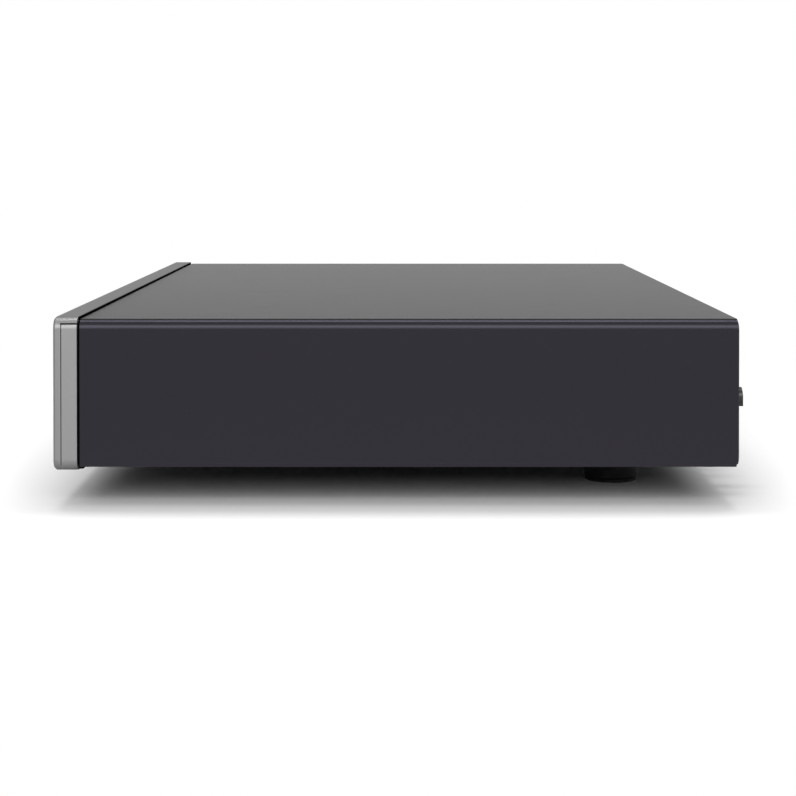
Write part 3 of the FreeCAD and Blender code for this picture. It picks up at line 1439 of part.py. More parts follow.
def power_switch():
    """Rocker switch: bezel and well, and the rocker on its pivot pins, tilted to off."""
    x, z = rocker_x, s.mains_height
    bezel = block((x - 7.6, x + 7.6), (rear_face, rear_face + 2.0), (z - 10.7, z + 10.7))
    case = block((x - 6.4, x + 6.4), (rear_face - 20.0, rear_face + 0.5), (z - 9.4, z + 9.4))
    well = block((x - 5.3, x + 5.3), (rear_face - 8.2, rear_face + 3.0), (z - 8.4, z + 8.4))
    pivot = rear_face - 3.0
    holes = rod("x", (pivot, z), (x - 6.1, x + 6.1), s.rocker_pin_radius + s.running_gap)
    keep("switch_housing", cut(cut(join([bezel, case]), [well]), [holes]))
    body = new_body("rocker_body")
    outline = [(3.9, -7.6), (4.9, 0.0), (3.9, 7.6), (-1.0, 7.2), (-4.2, 3.0), (-4.2, -3.0), (-1.0, -7.2)]
    pad(body, "YZ", (-5.1, 5.1), [outline])
    pins = prism("x", (0.0, 0.0), (-6.0, 6.0), s.rocker_pin_radius, SMALL_SIDES)
    rocker = join([body, pins])
    tilt = s.rocker_tilt.number
    rocker.Placement = Placement(Vector(), Rotation(Vector(1, 0, 0), -tilt))
    bind(rocker, "Placement.Base.x", x)
    bind(rocker, "Placement.Base.y", pivot)
    bind(rocker, "Placement.Base.z", z)
    keep("power_rocker", rocker)


WIRE_SIDES = 6


def wire_tube(points, radius):
    """A thin wire with few faces and mitred corners, along straight runs."""
    along = (points[1] - points[0]).normalize()
    up = Vector(0, 0, 1)
    side = along.cross(up)
    corners = []
    for step in range(WIRE_SIDES + 1):
        angle = 2 * math.pi * step / WIRE_SIDES
        corners.append(points[0] + side * (radius * math.cos(angle)) + up * (radius * math.sin(angle)))
    mitred = 1
    return Part.makePolygon(points).makePipeShell([Part.makePolygon(corners)], True, False, mitred)


def mains_wires():
    """Two insulated wires: inlet to switch, and switch to the supply board."""
    back = (rear_face - s.inlet_depth).number
    level = s.mains_height.number
    forward = back - 16.0
    inlet = inlet_x.number + 8.0
    switch = rocker_x.number
    landing = supply_left.number + 6.0
    first = wire_tube([Vector(inlet, back, level), Vector(inlet, forward, level),
                       Vector(switch - 3.0, forward, level), Vector(switch - 3.0, back + 6.0, level)],
                      s.wire_radius.number)
    second = wire_tube([Vector(switch + 3.0, back + 6.0, level), Vector(switch + 3.0, forward - 8.0, level),
                        Vector(landing, forward - 8.0, level),
                        Vector(landing, forward - 8.0, board_top.number)], s.wire_radius.number)
    keep("mains_wires", set_shape("mains_wires", Part.makeCompound([first, second])))


def build_all():
    top_cover()
    chassis_base()
    rear_panel()
    front_panel()
    keep("end_caps", group([end_cap(-1), end_cap(1)]))
    front_subframe()
    display()
    front_buttons()
    feet()
    disc_tray()
    tray_fascia()
    loader_frame()
    standoffs()
    cam_slider()
    loading_gears()
    loading_belt()
    lift_cradle()
    traverse()
    turntable()
    clamp()
    optical_pickup()
    sled_drive()
    boards()
    ribbon_cable()
    heat_sink()
    transformer()
    phono_jacks()
    optical_output()
    small_sockets()
    mains_inlet()
    power_switch()
    mains_wires()
    screws()


def check_model():
    """Every object has to be sound, and every pocket has to take material away."""
    for item in document.Objects:
        if "Invalid" in item.State or "Error" in item.State:
            raise RuntimeError("failed object: %s (%s) %s" % (item.Name, item.Label, item.State))
    for item in document.Objects:
        if item.TypeId == "PartDesign::Pocket":
            before = item.BaseFeature.Shape.Volume
            if item.Shape.Volume > before - 1e-3:
                raise RuntimeError("pocket cuts nothing: " + item.Name)
    for item in nodes:
        if item.Shape.isNull() or not item.Shape.isValid():
            raise RuntimeError("bad shape: " + item.Label)


def export_all():
    os.makedirs("parts", exist_ok=True)
    for item in nodes:
        item.Shape.exportStep("parts/%s.step" % item.Label)
    print("nodes written:", len(nodes))


build_all()
document.recompute()
check_model()
export_all()
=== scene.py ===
"""Looks of a full-width disc transport: finishes, small fittings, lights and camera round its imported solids.

The scene is in metres in the frame of the solids: X to the right as seen from the front, -Y out of the front,
+Z up, with the origin on the floor under the middle of the player. The fittings are drawn in millimetres.
"""
import json
import math

import bmesh
import bpy
from mathutils import Matrix, Vector


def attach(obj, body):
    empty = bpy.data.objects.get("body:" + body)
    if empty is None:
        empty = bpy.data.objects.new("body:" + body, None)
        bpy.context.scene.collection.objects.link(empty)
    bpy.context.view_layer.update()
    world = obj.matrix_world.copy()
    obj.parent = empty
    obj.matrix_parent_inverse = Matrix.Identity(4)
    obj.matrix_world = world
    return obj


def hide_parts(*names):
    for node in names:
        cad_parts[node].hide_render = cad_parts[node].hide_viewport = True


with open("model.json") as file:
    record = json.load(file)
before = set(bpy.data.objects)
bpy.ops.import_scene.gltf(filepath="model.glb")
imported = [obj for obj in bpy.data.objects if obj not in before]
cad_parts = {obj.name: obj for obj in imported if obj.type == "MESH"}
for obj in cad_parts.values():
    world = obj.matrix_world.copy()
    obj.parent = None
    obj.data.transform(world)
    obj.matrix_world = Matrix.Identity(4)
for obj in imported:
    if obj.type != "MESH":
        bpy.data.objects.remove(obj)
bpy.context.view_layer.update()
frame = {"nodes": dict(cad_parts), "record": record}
MM = 0.001


# Finishes

EVEN = (1.0, 1.0, 1.0)
# Detail of the noise behind the relief, the gloss and the tint
GRAIN_DETAIL = 2.0
GLOSS_DETAIL = 3.0
TINT_DETAIL = 4.0
# Values of the noise between which gloss and tint go from their one limit to the other
GLOSS_NOISE_FROM, GLOSS_NOISE_TO = 0.3, 0.7
TINT_NOISE_FROM, TINT_NOISE_TO = 0.35, 0.65


def noise_field(made, per_metre, detail, stretch=EVEN):
    """A noise that stays with the object's surface, drawn out along the axes with a small stretch."""
    nodes, links = made.node_tree.nodes, made.node_tree.links
    place = nodes.new("ShaderNodeTexCoord")
    scaled = nodes.new("ShaderNodeMapping")
    scaled.inputs["Scale"].default_value = stretch
    links.new(place.outputs["Object"], scaled.inputs["Vector"])
    noise = nodes.new("ShaderNodeTexNoise")
    noise.inputs["Scale"].default_value = per_metre
    noise.inputs["Detail"].default_value = detail
    links.new(scaled.outputs["Vector"], noise.inputs["Vector"])
    return noise.outputs["Fac"]


def uneven_gloss(made, per_metre, share):
    """Lets the roughness wander below and above its value by a share of it."""
    nodes, links = made.node_tree.nodes, made.node_tree.links
    roughness = nodes["Principled BSDF"].inputs["Roughness"]
    spread = nodes.new("ShaderNodeMapRange")
    spread.inputs["From Min"].default_value = GLOSS_NOISE_FROM
    spread.inputs["From Max"].default_value = GLOSS_NOISE_TO
    spread.inputs["To Min"].default_value = roughness.default_value * (1.0 - share)
    spread.inputs["To Max"].default_value = roughness.default_value * (1.0 + share)
    links.new(noise_field(made, per_metre, GLOSS_DETAIL), spread.inputs["Value"])
    links.new(spread.outputs["Result"], roughness)


def uneven_tint(made, per_metre, share):
    """Lets the colour wander to darker and lighter by a share of it."""
    nodes, links = made.node_tree.nodes, made.node_tree.links
    base = nodes["Principled BSDF"].inputs["Base Color"]
    color = base.default_value[:3]
    ramp = nodes.new("ShaderNodeValToRGB")
    darker, lighter = ramp.color_ramp.elements
    darker.position = TINT_NOISE_FROM
    darker.color = (*[value * (1.0 - share) for value in color], 1.0)
    lighter.position = TINT_NOISE_TO
    lighter.color = (*[min(1.0, value * (1.0 + share)) for value in color], 1.0)
    links.new(noise_field(made, per_metre, TINT_DETAIL), ramp.inputs["Fac"])
    links.new(ramp.outputs["Color"], base)


def finish(name, color, roughness, metallic=0.0, specular=0.5, edge=None, coat=0.0, coat_roughness=0.1,
           gloss=None, tint=None):
    """A material on the Principled shader, with its constants on the shader's own sockets.

    Gloss and tint each hold patches per metre and the share by which roughness or colour wanders.
    """
    made = bpy.data.materials.new(name)
    made.use_nodes = True
    shader = made.node_tree.nodes["Principled BSDF"]
    shader.inputs["Base Color"].default_value = (*color, 1.0)
    shader.inputs["Roughness"].default_value = roughness
    shader.inputs["Metallic"].default_value = metallic
    shader.inputs["Specular IOR Level"].default_value = specular
    shader.inputs["Coat Weight"].default_value = coat
    shader.inputs["Coat Roughness"].default_value = coat_roughness
    if edge is not None:
        shader.inputs["Specular Tint"].default_value = (edge, edge, edge, 1.0)
    if gloss:
        uneven_gloss(made, *gloss)
    if tint:
        uneven_tint(made, *tint)
    return made


def grain(made, per_metre, strength, height, stretch=EVEN):
    """Adds fine relief, such as a powder coat's texture or the lines of a brushed metal.

    It has so many grains per metre, drawn out by the stretch, and a height in metres.
    """
    nodes, links = made.node_tree.nodes, made.node_tree.links
    bump = nodes.new("ShaderNodeBump")
    bump.inputs["Strength"].default_value = strength
    bump.inputs["Distance"].default_value = height
    links.new(noise_field(made, per_metre, GRAIN_DETAIL, stretch), bump.inputs["Height"])
    links.new(bump.outputs["Normal"], nodes["Principled BSDF"].inputs["Normal"])
    return made


# Painted and bare sheet metal
case_coat = grain(
    finish("case_coat", (0.0295, 0.0279, 0.0347), 0.25, metallic=0.75, edge=0.10, gloss=(90.0, 0.015)),
    2600.0, 0.12, 0.06 * MM)
pan_coat = grain(
    finish("pan_coat", (0.012, 0.012, 0.013), 0.45, specular=0.35, gloss=(90.0, 0.05), tint=(60.0, 0.03)),
    2600.0, 0.12, 0.06 * MM)
silver = finish("silver", (0.245, 0.242, 0.244), 0.46, metallic=1.0, edge=0.45, gloss=(300.0, 0.08))
brushed = grain(
    finish("brushed", (0.222, 0.220, 0.222), 0.45, metallic=1.0, edge=0.50),
    900.0, 0.30, 0.03 * MM, stretch=(0.012, 1.0, 1.0))
zinc = finish("zinc", (0.52, 0.52, 0.51), 0.35, metallic=1.0, gloss=(180.0, 0.20), tint=(250.0, 0.08))
cast_zinc = finish(
    "cast_zinc", (0.42, 0.42, 0.43), 0.45, metallic=1.0, gloss=(300.0, 0.222), tint=(200.0, 0.10))
ground_steel = finish("ground_steel", (0.60, 0.60, 0.61), 0.15, metallic=1.0, gloss=(400.0, 0.30))
nickel = finish("nickel", (0.62, 0.59, 0.54), 0.20, metallic=1.0, gloss=(400.0, 0.25))
dark_nickel = finish(
    "dark_nickel", (0.050, 0.048, 0.047), 0.32, metallic=1.0, edge=0.50, gloss=(400.0, 0.20))
black_oxide = finish("black_oxide", (0.030, 0.030, 0.032), 0.38, metallic=1.0, gloss=(500.0, 0.25))
black_anodised = finish("black_anodised", (0.030, 0.030, 0.032), 0.35, metallic=0.6, gloss=(300.0, 0.20))
brass = finish("brass", (0.70, 0.50, 0.22), 0.28, metallic=1.0, gloss=(500.0, 0.25), tint=(300.0, 0.08))
gilt = finish("gilt", (0.80, 0.58, 0.25), 0.22, metallic=1.0, gloss=(500.0, 0.25))

# Plastics and rubber
black_plastic = grain(
    finish("black_plastic", (0.012, 0.012, 0.013), 0.50, specular=0.40,
           gloss=(120.0, 0.05), tint=(90.0, 0.03)),
    3000.0, 0.10, 0.05 * MM)
gloss_black = finish("gloss_black", (0.008, 0.008, 0.009), 0.18, gloss=(90.0, 0.30))
# Black that reflects nothing: on the shadow-gap frame it is the frame's own black made darker to paint the
# shade of the gap round the faceplate, and on the seam strips, the sheet behind the top strip and the bore
# discs it is painted shade
deep_black = finish("deep_black", (0.004, 0.004, 0.004), 0.85, specular=0.0, gloss=(200.0, 0.05))
foot_plastic = finish(
    "foot_plastic", (0.005, 0.005, 0.006), 0.60, specular=0.20, gloss=(200.0, 0.15), tint=(120.0, 0.10))
chip_plastic = finish("chip_plastic", (0.018, 0.018, 0.019), 0.45, gloss=(700.0, 0.15))
orange_plastic = finish("orange_plastic", (0.75, 0.20, 0.02), 0.40, gloss=(300.0, 0.15), tint=(300.0, 0.06))
acetal = finish("acetal", (0.72, 0.71, 0.67), 0.42, gloss=(200.0, 0.15), tint=(80.0, 0.04))
rubber = finish("rubber", (0.010, 0.010, 0.011), 0.72, specular=0.25, gloss=(150.0, 0.15), tint=(120.0, 0.15))

# Windows, lens and lamp
acrylic = finish("acrylic", (0.006, 0.006, 0.008), 0.06, coat=0.3, coat_roughness=0.03, gloss=(60.0, 0.30))
display_glass = finish("display_glass", (0.010, 0.012, 0.012), 0.10, gloss=(60.0, 0.20))
lens_glass = finish("lens_glass", (0.05, 0.06, 0.12), 0.05, coat=1.0, coat_roughness=0.02)
lamp_lens = finish("lamp_lens", (0.30, 0.30, 0.30), 0.25, gloss=(600.0, 0.20))

# Boards, windings and cables
solder_mask = finish("solder_mask", (0.010, 0.075, 0.030), 0.30, gloss=(150.0, 0.30), tint=(260.0, 0.25))
paper_board = finish("paper_board", (0.30, 0.21, 0.10), 0.55, gloss=(200.0, 0.15), tint=(500.0, 0.12))
sleeve_blue = finish("sleeve_blue", (0.015, 0.022, 0.060), 0.25, gloss=(300.0, 0.25), tint=(200.0, 0.10))
lamination = grain(
    finish("lamination", (0.080, 0.074, 0.068), 0.45, gloss=(100.0, 0.25), tint=(80.0, 0.25)),
    1100.0, 0.60, 0.2 * MM, stretch=(0.01, 1.0, 0.01))
tape = finish("tape", (0.62, 0.44, 0.08), 0.35, gloss=(150.0, 0.30), tint=(90.0, 0.12))
ribbon_grey = grain(
    finish("ribbon_grey", (0.42, 0.42, 0.43), 0.50, gloss=(120.0, 0.15)),
    1000.0, 0.60, 0.1 * MM, stretch=(1.0, 0.01, 0.01))
brown_wire = finish("brown_wire", (0.16, 0.055, 0.020), 0.40, gloss=(300.0, 0.20), tint=(150.0, 0.10))

# Printed marks
white_ink = finish("white_ink", (0.70, 0.70, 0.70), 0.55, gloss=(900.0, 0.15))
dark_ink = finish("dark_ink", (0.030, 0.030, 0.032), 0.55, gloss=(900.0, 0.15))

FINISHES = {
    "top_cover": case_coat,
    "chassis_base": pan_coat,
    "rear_panel": pan_coat,
    "front_panel": brushed,
    "end_caps": silver,
    # The frame's own black, darkened further as painted shade of the gap
    "front_subframe": deep_black,
    "display_window": acrylic,
    "display_module": display_glass,
    "control_board": solder_mask,
    "feet": foot_plastic,
    "foot_pads": rubber,
    "disc_tray": black_plastic,
    "tray_fascia": brushed,
    "loader_frame": black_plastic,
    "standoffs": zinc,
    "cam_slider": acetal,
    "tray_drive_gear": acetal,
    "pulley_gear": acetal,
    "motor_pulley": acetal,
    "loading_motor": zinc,
    "loading_belt": rubber,
    "lift_cradle": black_plastic,
    "damper_bushes": rubber,
    "traverse_plate": zinc,
    "guide_rods": ground_steel,
    "spindle_motor": zinc,
    "turntable": black_plastic,
    "clamp_bridge": zinc,
    "disc_clamper": black_plastic,
    "optical_pickup": cast_zinc,
    "objective_lens": lens_glass,
    "sled_gear": acetal,
    "sled_pinion": brass,
    "sled_motor": zinc,
    "power_supply_board": paper_board,
    "main_board": solder_mask,
    "capacitors": sleeve_blue,
    "ribbon_cable": ribbon_grey,
    "heat_sink": black_anodised,
    "transformer_core": lamination,
    "transformer_winding": tape,
    "phono_jacks": dark_nickel,
    "optical_output": black_plastic,
    "dust_cap": rubber,
    "infrared_jack": black_plastic,
    "serial_port": nickel,
    "mains_inlet": black_plastic,
    "inlet_pins": nickel,
    "switch_housing": gloss_black,
    "power_rocker": gloss_black,
    "mains_wires": brown_wire,
    "rear_screws": black_oxide,
    "base_screws": black_oxide,
    "inner_screws": zinc,
}
for key in ("standby", "open", "play", "stop", "previous", "next"):
    FINISHES[key + "_button"] = silver

for node, piece in frame["nodes"].items():
    for entry in piece.material_slots:
        entry.material = FINISHES[node]


# Building pieces

BODY_OF = {node: body for body, nodes in frame["record"]["behaviour"]["bodies"].items() for node in nodes}
# The two corners of a solid's box
LOW, HIGH = 0, 1
ORIGIN = Vector((0.0, 0.0, 0.0))
# Ways that the axis of a form can point
UPRIGHT = Matrix.Identity(3)
DOWNWARD = Matrix.Rotation(math.pi, 3, "X")
BACKWARD = Matrix.Rotation(-math.pi / 2, 3, "X")
FORWARD = Matrix.Rotation(math.pi / 2, 3, "X")
RIGHTWARD = Matrix.Rotation(math.pi / 2, 3, "Y")
# Steps round a circle, for large, small and very small turned forms
ROUND = 48
SMALL_ROUND = 24
FINE_ROUND = 20
# Angle between two faces from which a piece keeps the edge between them sharp
SHARP = math.radians(32.0)
# Corners of the solids that are closer than this are one
SAME_PLACE = 0.005 * MM
# Softened edges: reach of the joining, size and steps of the rounding, and the angle from which it is made
WELD_REACH = 0.002 * MM
EDGE_ROUND = 0.12
EDGE_STEPS = 2
EDGE_ANGLE = math.radians(35.0)
# Lead of large faces over small ones in the shading, at its limit, so that flat faces look flat
LARGE_FACES_LEAD = 100


def soften_edges(piece, size=EDGE_ROUND):
    """Joins the loose faces and rounds the sharp edges a little, so that they catch the light."""
    weld = piece.modifiers.new("Join", "WELD")
    weld.merge_threshold = WELD_REACH
    bevel = piece.modifiers.new("Soften", "BEVEL")
    bevel.width = size * MM
    bevel.segments = EDGE_STEPS
    bevel.limit_method = "ANGLE"
    bevel.angle_limit = EDGE_ANGLE
    bevel.use_clamp_overlap = True
    level = piece.modifiers.new("Level", "WEIGHTED_NORMAL")
    level.mode = "FACE_AREA"
    level.weight = LARGE_FACES_LEAD
    level.keep_sharp = False
    for face in piece.data.polygons:
        face.use_smooth = True


def islands(node):
    """Lowest and highest corner of every separate solid in a node, in millimetres, from left to right.

    Corners that an edge joins are followed to one and the same first corner, which stands for their solid.
    """
    mesh = frame["nodes"][node].data
    known = {}
    group = []
    for vertex in mesh.vertices:
        group.append(known.setdefault(tuple(round(value / SAME_PLACE) for value in vertex.co), len(known)))
    first = list(range(len(known)))

    def root(index):
        while first[index] != index:
            first[index] = first[first[index]]
            index = first[index]
        return index

    for edge in mesh.edges:
        start, end = edge.vertices
        first[root(group[start])] = root(group[end])
    solids = {}
    for vertex in mesh.vertices:
        solids.setdefault(root(group[vertex.index]), []).append(vertex.co / MM)
    boxes = []
    for points in solids.values():
        low = Vector([min(point[axis] for point in points) for axis in range(3)])
        high = Vector([max(point[axis] for point in points) for axis in range(3)])
        boxes.append((low, high))
    return sorted(boxes, key=lambda box: tuple(box[LOW]))


def middle(box):
    return (box[LOW] + box[HIGH]) / 2


def foot(box):
    """The middle of a solid's lowest face."""
    return Vector((middle(box).x, middle(box).y, box[LOW].z))


def crown(box):
    """The middle of a solid's highest face."""
    return Vector((middle(box).x, middle(box).y, box[HIGH].z))


def front(box):
    """The middle of a solid's foremost face."""
    return Vector((middle(box).x, box[LOW].y, middle(box).z))


def radius_of(box):
    return (box[HIGH].x - box[LOW].x) / 2


def height_of(box):
    return box[HIGH].z - box[LOW].z


def band(inner, outer, low, high, taper=0.0):
    """Profile of a ring between two radii and two heights, narrower by the taper at its top."""
    return [(inner, low), (outer, low), (outer - taper, high), (inner + taper, high)]


def turn(form, place, facing, profile, steps=ROUND, closed=False):
    """Adds a turned form: its profile is radius and height along its axis, in millimetres.

    A closed form is a ring, whose profile runs from its last point back to its first.
    """
    rings = []
    for radius, height in profile:
        if radius == 0.0:
            rings.append([form.verts.new(place + facing @ Vector((0.0, 0.0, height)))])
            continue
        ring = []
        for step in range(steps):
            angle = 2 * math.pi * step / steps
            point = Vector((radius * math.cos(angle), radius * math.sin(angle), height))
            ring.append(form.verts.new(place + facing @ point))
        rings.append(ring)
    pairs = list(zip(rings, rings[1:]))
    if closed:
        pairs.append((rings[-1], rings[0]))
    for low, high in pairs:
        for step in range(steps):
            after = (step + 1) % steps
            corners = [low[step % len(low)], low[after % len(low)]]
            corners += [high[after % len(high)], high[step % len(high)]]
            form.faces.new(list(dict.fromkeys(corners)))


def extrude(form, place, facing, outline, low, high, shrink=1.0):
    """Adds a prism with this outline between two heights along its axis; shrink scales its lower end."""
    bottom = [form.verts.new(place + facing @ Vector((x * shrink, y * shrink, low))) for x, y in outline]
    top = [form.verts.new(place + facing @ Vector((x, y, high))) for x, y in outline]
    form.faces.new(bottom)
    form.faces.new(top)
    for step in range(len(outline)):
        after = (step + 1) % len(outline)
        form.faces.new([bottom[step], bottom[after], top[after], top[step]])


def slab(form, low, high):
    """Adds a block between two corners, in millimetres."""
    outline = [(low[0], low[1]), (high[0], low[1]), (high[0], high[1]), (low[0], high[1])]
    extrude(form, ORIGIN, UPRIGHT, outline, low[2], high[2])


def smooth(mesh):
    """Shades a mesh smooth but for its sharp edges."""
    for face in mesh.polygons:
        face.use_smooth = True
    mesh.set_sharp_from_angle(angle=SHARP)
    return mesh


def form_mesh(name, form):
    """Closes a form and turns it into a mesh in metres."""
    bmesh.ops.recalc_face_normals(form, faces=form.faces)
    bmesh.ops.scale(form, vec=(MM, MM, MM), verts=form.verts)
    mesh = bpy.data.meshes.new(name)
    form.to_mesh(mesh)
    form.free()
    return smooth(mesh)


def add_mesh(name, mesh, material, on_node, replaced=False, edges=0.0):
    """Puts a mesh in the scene as a piece that rides with a node's body, its edges rounded if asked."""
    mesh.materials.clear()
    mesh.materials.append(material)
    piece = bpy.data.objects.new(name, mesh)
    bpy.context.scene.collection.objects.link(piece)
    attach(piece, BODY_OF[on_node])
    if replaced:
        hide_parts(on_node)
    if edges:
        soften_edges(piece, edges)


def add_form(name, form, material, on_node, replaced=False, edges=0.0):
    """Puts a form in the scene as a piece."""
    add_mesh(name, form_mesh(name, form), material, on_node, replaced=replaced, edges=edges)


def add_turned(name, rows, material, on_node, replaced=False, facing=UPRIGHT, closed=False, steps=ROUND):
    """Puts a piece of turned forms in the scene: each row is the place of its axis and its profile."""
    form = bmesh.new()
    for place, profile in rows:
        turn(form, place, facing, profile, steps=steps, closed=closed)
    add_form(name, form, material, on_node, replaced=replaced)


def carve(kept, tool):
    """The first form with the second taken out of it, as a mesh."""
    base = bpy.data.objects.new("base", form_mesh("kept", kept))
    cutter = bpy.data.objects.new("cutter", form_mesh("tool", tool))
    for item in (base, cutter):
        bpy.context.scene.collection.objects.link(item)
    change = base.modifiers.new("Carve", "BOOLEAN")
    change.object = cutter
    change.solver = "EXACT"
    made = bpy.data.meshes.new_from_object(base.evaluated_get(bpy.context.evaluated_depsgraph_get()))
    for item in (base, cutter):
        bpy.data.objects.remove(item)
    return smooth(made)


def gather(name, rows):
    """One mesh of several: each row is a mesh, its place in millimetres and how it is turned."""
    form = bmesh.new()
    for mesh, place, turned in rows:
        known = len(form.verts)
        form.from_mesh(mesh)
        form.verts.ensure_lookup_table()
        for vertex in form.verts[known:]:
            vertex.co = turned @ vertex.co + place * MM
    made = bpy.data.meshes.new(name)
    form.to_mesh(made)
    form.free()
    return smooth(made)


# Screws: the head's profile and its cross recess, as shares of the head's radius and height

PAN_HEAD = [(0.0, 0.0), (1.0, 0.0), (1.0, 0.45), (0.95, 0.72), (0.80, 0.92), (0.55, 1.0), (0.0, 1.0)]
RECESS_REACH, RECESS_HALF, RECESS_TAPER = 0.56, 0.13, 0.45
RECESS_FLOOR, RECESS_TOP = 0.35, 1.3
SCREW_SPIN = 0.9


def cross_outline(reach, half):
    return [(reach, -half), (reach, half), (half, half), (half, reach), (-half, reach), (-half, half),
            (-reach, half), (-reach, -half), (-half, -half), (-half, -reach), (half, -reach), (half, -half)]


def screw_head(radius, height):
    """A pan head with a cross recess, standing on its seat."""
    head = bmesh.new()
    turn(head, ORIGIN, UPRIGHT, [(radius * across, height * up) for across, up in PAN_HEAD])
    recess = bmesh.new()
    extrude(recess, ORIGIN, UPRIGHT, cross_outline(RECESS_REACH * radius, RECESS_HALF * radius),
            RECESS_FLOOR * height, RECESS_TOP * height, shrink=RECESS_TAPER)
    return carve(head, recess)


def screws(node, facing, axis, seat_side):
    """Replaces a node's plain heads, each on its own seat and with its cross turned another way.

    The axis is the one that the screws lie along, and the seats are on this side of their boxes.
    """
    boxes = islands(node)
    size = boxes[0][HIGH] - boxes[0][LOW]
    head = screw_head(max(size[(axis + 1) % 3], size[(axis + 2) % 3]) / 2, size[axis])
    rows = []
    for count, box in enumerate(boxes):
        seat = middle(box)
        seat[axis] = box[seat_side][axis]
        rows.append((head, seat, facing @ Matrix.Rotation(SCREW_SPIN * count, 3, "Z")))
    add_mesh(node + "_heads", gather(node + "_heads", rows), FINISHES[node], node, replaced=True)


screws("rear_screws", BACKWARD, axis=1, seat_side=LOW)
screws("base_screws", DOWNWARD, axis=2, seat_side=HIGH)
screws("inner_screws", UPRIGHT, axis=2, seat_side=LOW)


# Motors: pressed cans with a bearing boss below and two soldering lugs

BOSSES = {"loading_motor": 3.2, "spindle_motor": 4.0, "sled_motor": 2.4}
BOSS_DROP, BOSS_CHAMFER, BOSS_TAPER = 0.6, 0.2, 0.9
# Rolled rim and crimped end plate: how far outside the can, and how far above its foot or below its top
RIM = [(-1.2, 0.0), (-0.4, 0.25), (0.0, 1.0)]
CRIMP = [(0.0, -2.4), (-0.35, -2.1), (-0.35, -1.7), (0.0, -1.4), (0.0, -0.2), (-0.2, 0.0)]
# Places of the lugs, as shares of the can's radius
LUG_ASIDE, LUG_NEAR, LUG_FAR = 0.5, 0.35, 0.62
LUG_HALF, LUG_DROP, LUG_ROOT = 0.25, 2.0, 0.1
LUG_EDGES = 0.08


def motor_can(node, boss):
    """Replaces a node's plain can with one that has a boss of this radius."""
    box = islands(node)[0]
    place = foot(box)
    radius = radius_of(box)
    tall = height_of(box)
    profile = [(0.0, -BOSS_DROP), (BOSS_TAPER * boss, -BOSS_DROP)]
    profile += [(boss, BOSS_CHAMFER - BOSS_DROP), (boss, 0.0)]
    profile += [(radius + outward, height) for outward, height in RIM]
    profile += [(radius + outward, tall + height) for outward, height in CRIMP]
    profile.append((0.0, tall))
    add_turned(node + "_can", [(place, profile)], FINISHES[node], node, replaced=True)
    lugs = bmesh.new()
    for side in (-1, 1):
        x = place.x + side * LUG_ASIDE * radius
        slab(lugs, (x - LUG_HALF, place.y + LUG_NEAR * radius, place.z - LUG_DROP),
             (x + LUG_HALF, place.y + LUG_FAR * radius, place.z + LUG_ROOT))
    add_form(node + "_lugs", lugs, brass, node, edges=LUG_EDGES)


for node, boss in BOSSES.items():
    motor_can(node, boss)


# Clamping puck: a hollow neck that carries a flange with a dished top and a pip in its middle

NECK_RADIUS, NECK_BORE, BORE_DEPTH, NECK_CHAMFER = 12.0, 8.6, 2.2, 0.6
FLANGE_LOW, FLANGE_TOP, FLANGE_CHAMFER = 3.1, 4.4, 0.5
DISH_OUTER, DISH_INNER, DISH_DEPTH = 13.0, 5.6, 0.6
PIP_FOOT, PIP_WAIST, PIP_TIP, PIP_RISE = 3.2, 2.5, 2.2, 0.3
puck = islands("disc_clamper")[0]
puck_radius = radius_of(puck)
add_turned("clamping_puck", [(foot(puck), [
    (0.0, BORE_DEPTH), (NECK_BORE, BORE_DEPTH), (NECK_BORE, 0.0), (NECK_RADIUS - NECK_CHAMFER, 0.0),
    (NECK_RADIUS, NECK_CHAMFER), (NECK_RADIUS, FLANGE_LOW), (puck_radius, FLANGE_LOW),
    (puck_radius, FLANGE_TOP - FLANGE_CHAMFER), (puck_radius - FLANGE_CHAMFER, FLANGE_TOP),
    (DISH_OUTER, FLANGE_TOP), (DISH_OUTER - DISH_DEPTH, FLANGE_TOP - DISH_DEPTH),
    (DISH_INNER + DISH_DEPTH, FLANGE_TOP - DISH_DEPTH), (DISH_INNER, FLANGE_TOP), (PIP_FOOT, FLANGE_TOP),
    (PIP_WAIST, FLANGE_TOP + PIP_RISE), (PIP_TIP, height_of(puck)), (0.0, height_of(puck))])],
    black_plastic, "disc_clamper", replaced=True)


# Objective lens: a barrel with a rounded lip, and the glass bead in it, drawn down from their tops

LIP_DROP, LIP_ROUND, LIP_INSIDE, LIP_BORE = 0.6, 0.3, 0.9, 1.1
BEAD = [(0.0, -0.62), (2.25, -0.62), (2.20, -0.50), (1.7, -0.22), (1.0, -0.05), (0.0, 0.0)]
lens = islands("objective_lens")[0]
barrel = radius_of(lens)
base = -height_of(lens)
add_turned("lens_barrel", [(crown(lens), [
    (0.0, base), (barrel, base), (barrel, -LIP_DROP), (barrel - LIP_ROUND, -LIP_ROUND),
    (barrel - LIP_INSIDE, -LIP_ROUND), (barrel - LIP_BORE, -LIP_DROP), (0.0, -LIP_DROP)])],
    black_plastic, "objective_lens", replaced=True)
add_turned("lens_bead", [(crown(lens), BEAD)], lens_glass, "objective_lens")


# Rubber bushes, with a waist that starts, narrows, widens and ends at these shares of their height

BUSH_SWELL, WAIST_DEPTH = 0.1, 1.2
WAIST_START, WAIST_LOW, WAIST_HIGH, WAIST_END = 0.3, 0.4, 0.6, 0.7
bushes = []
for box in islands("damper_bushes"):
    wide = radius_of(box) + BUSH_SWELL
    narrow = wide - WAIST_DEPTH
    tall = height_of(box)
    bushes.append((foot(box), [
        (0.0, 0.0), (wide, 0.0), (wide, WAIST_START * tall), (narrow, WAIST_LOW * tall),
        (narrow, WAIST_HIGH * tall), (wide, WAIST_END * tall), (wide, tall), (0.0, tall)]))
add_turned("rubber_bushes", bushes, rubber, "damper_bushes", replaced=True)


# Capacitors, with all radii as shares of the can's

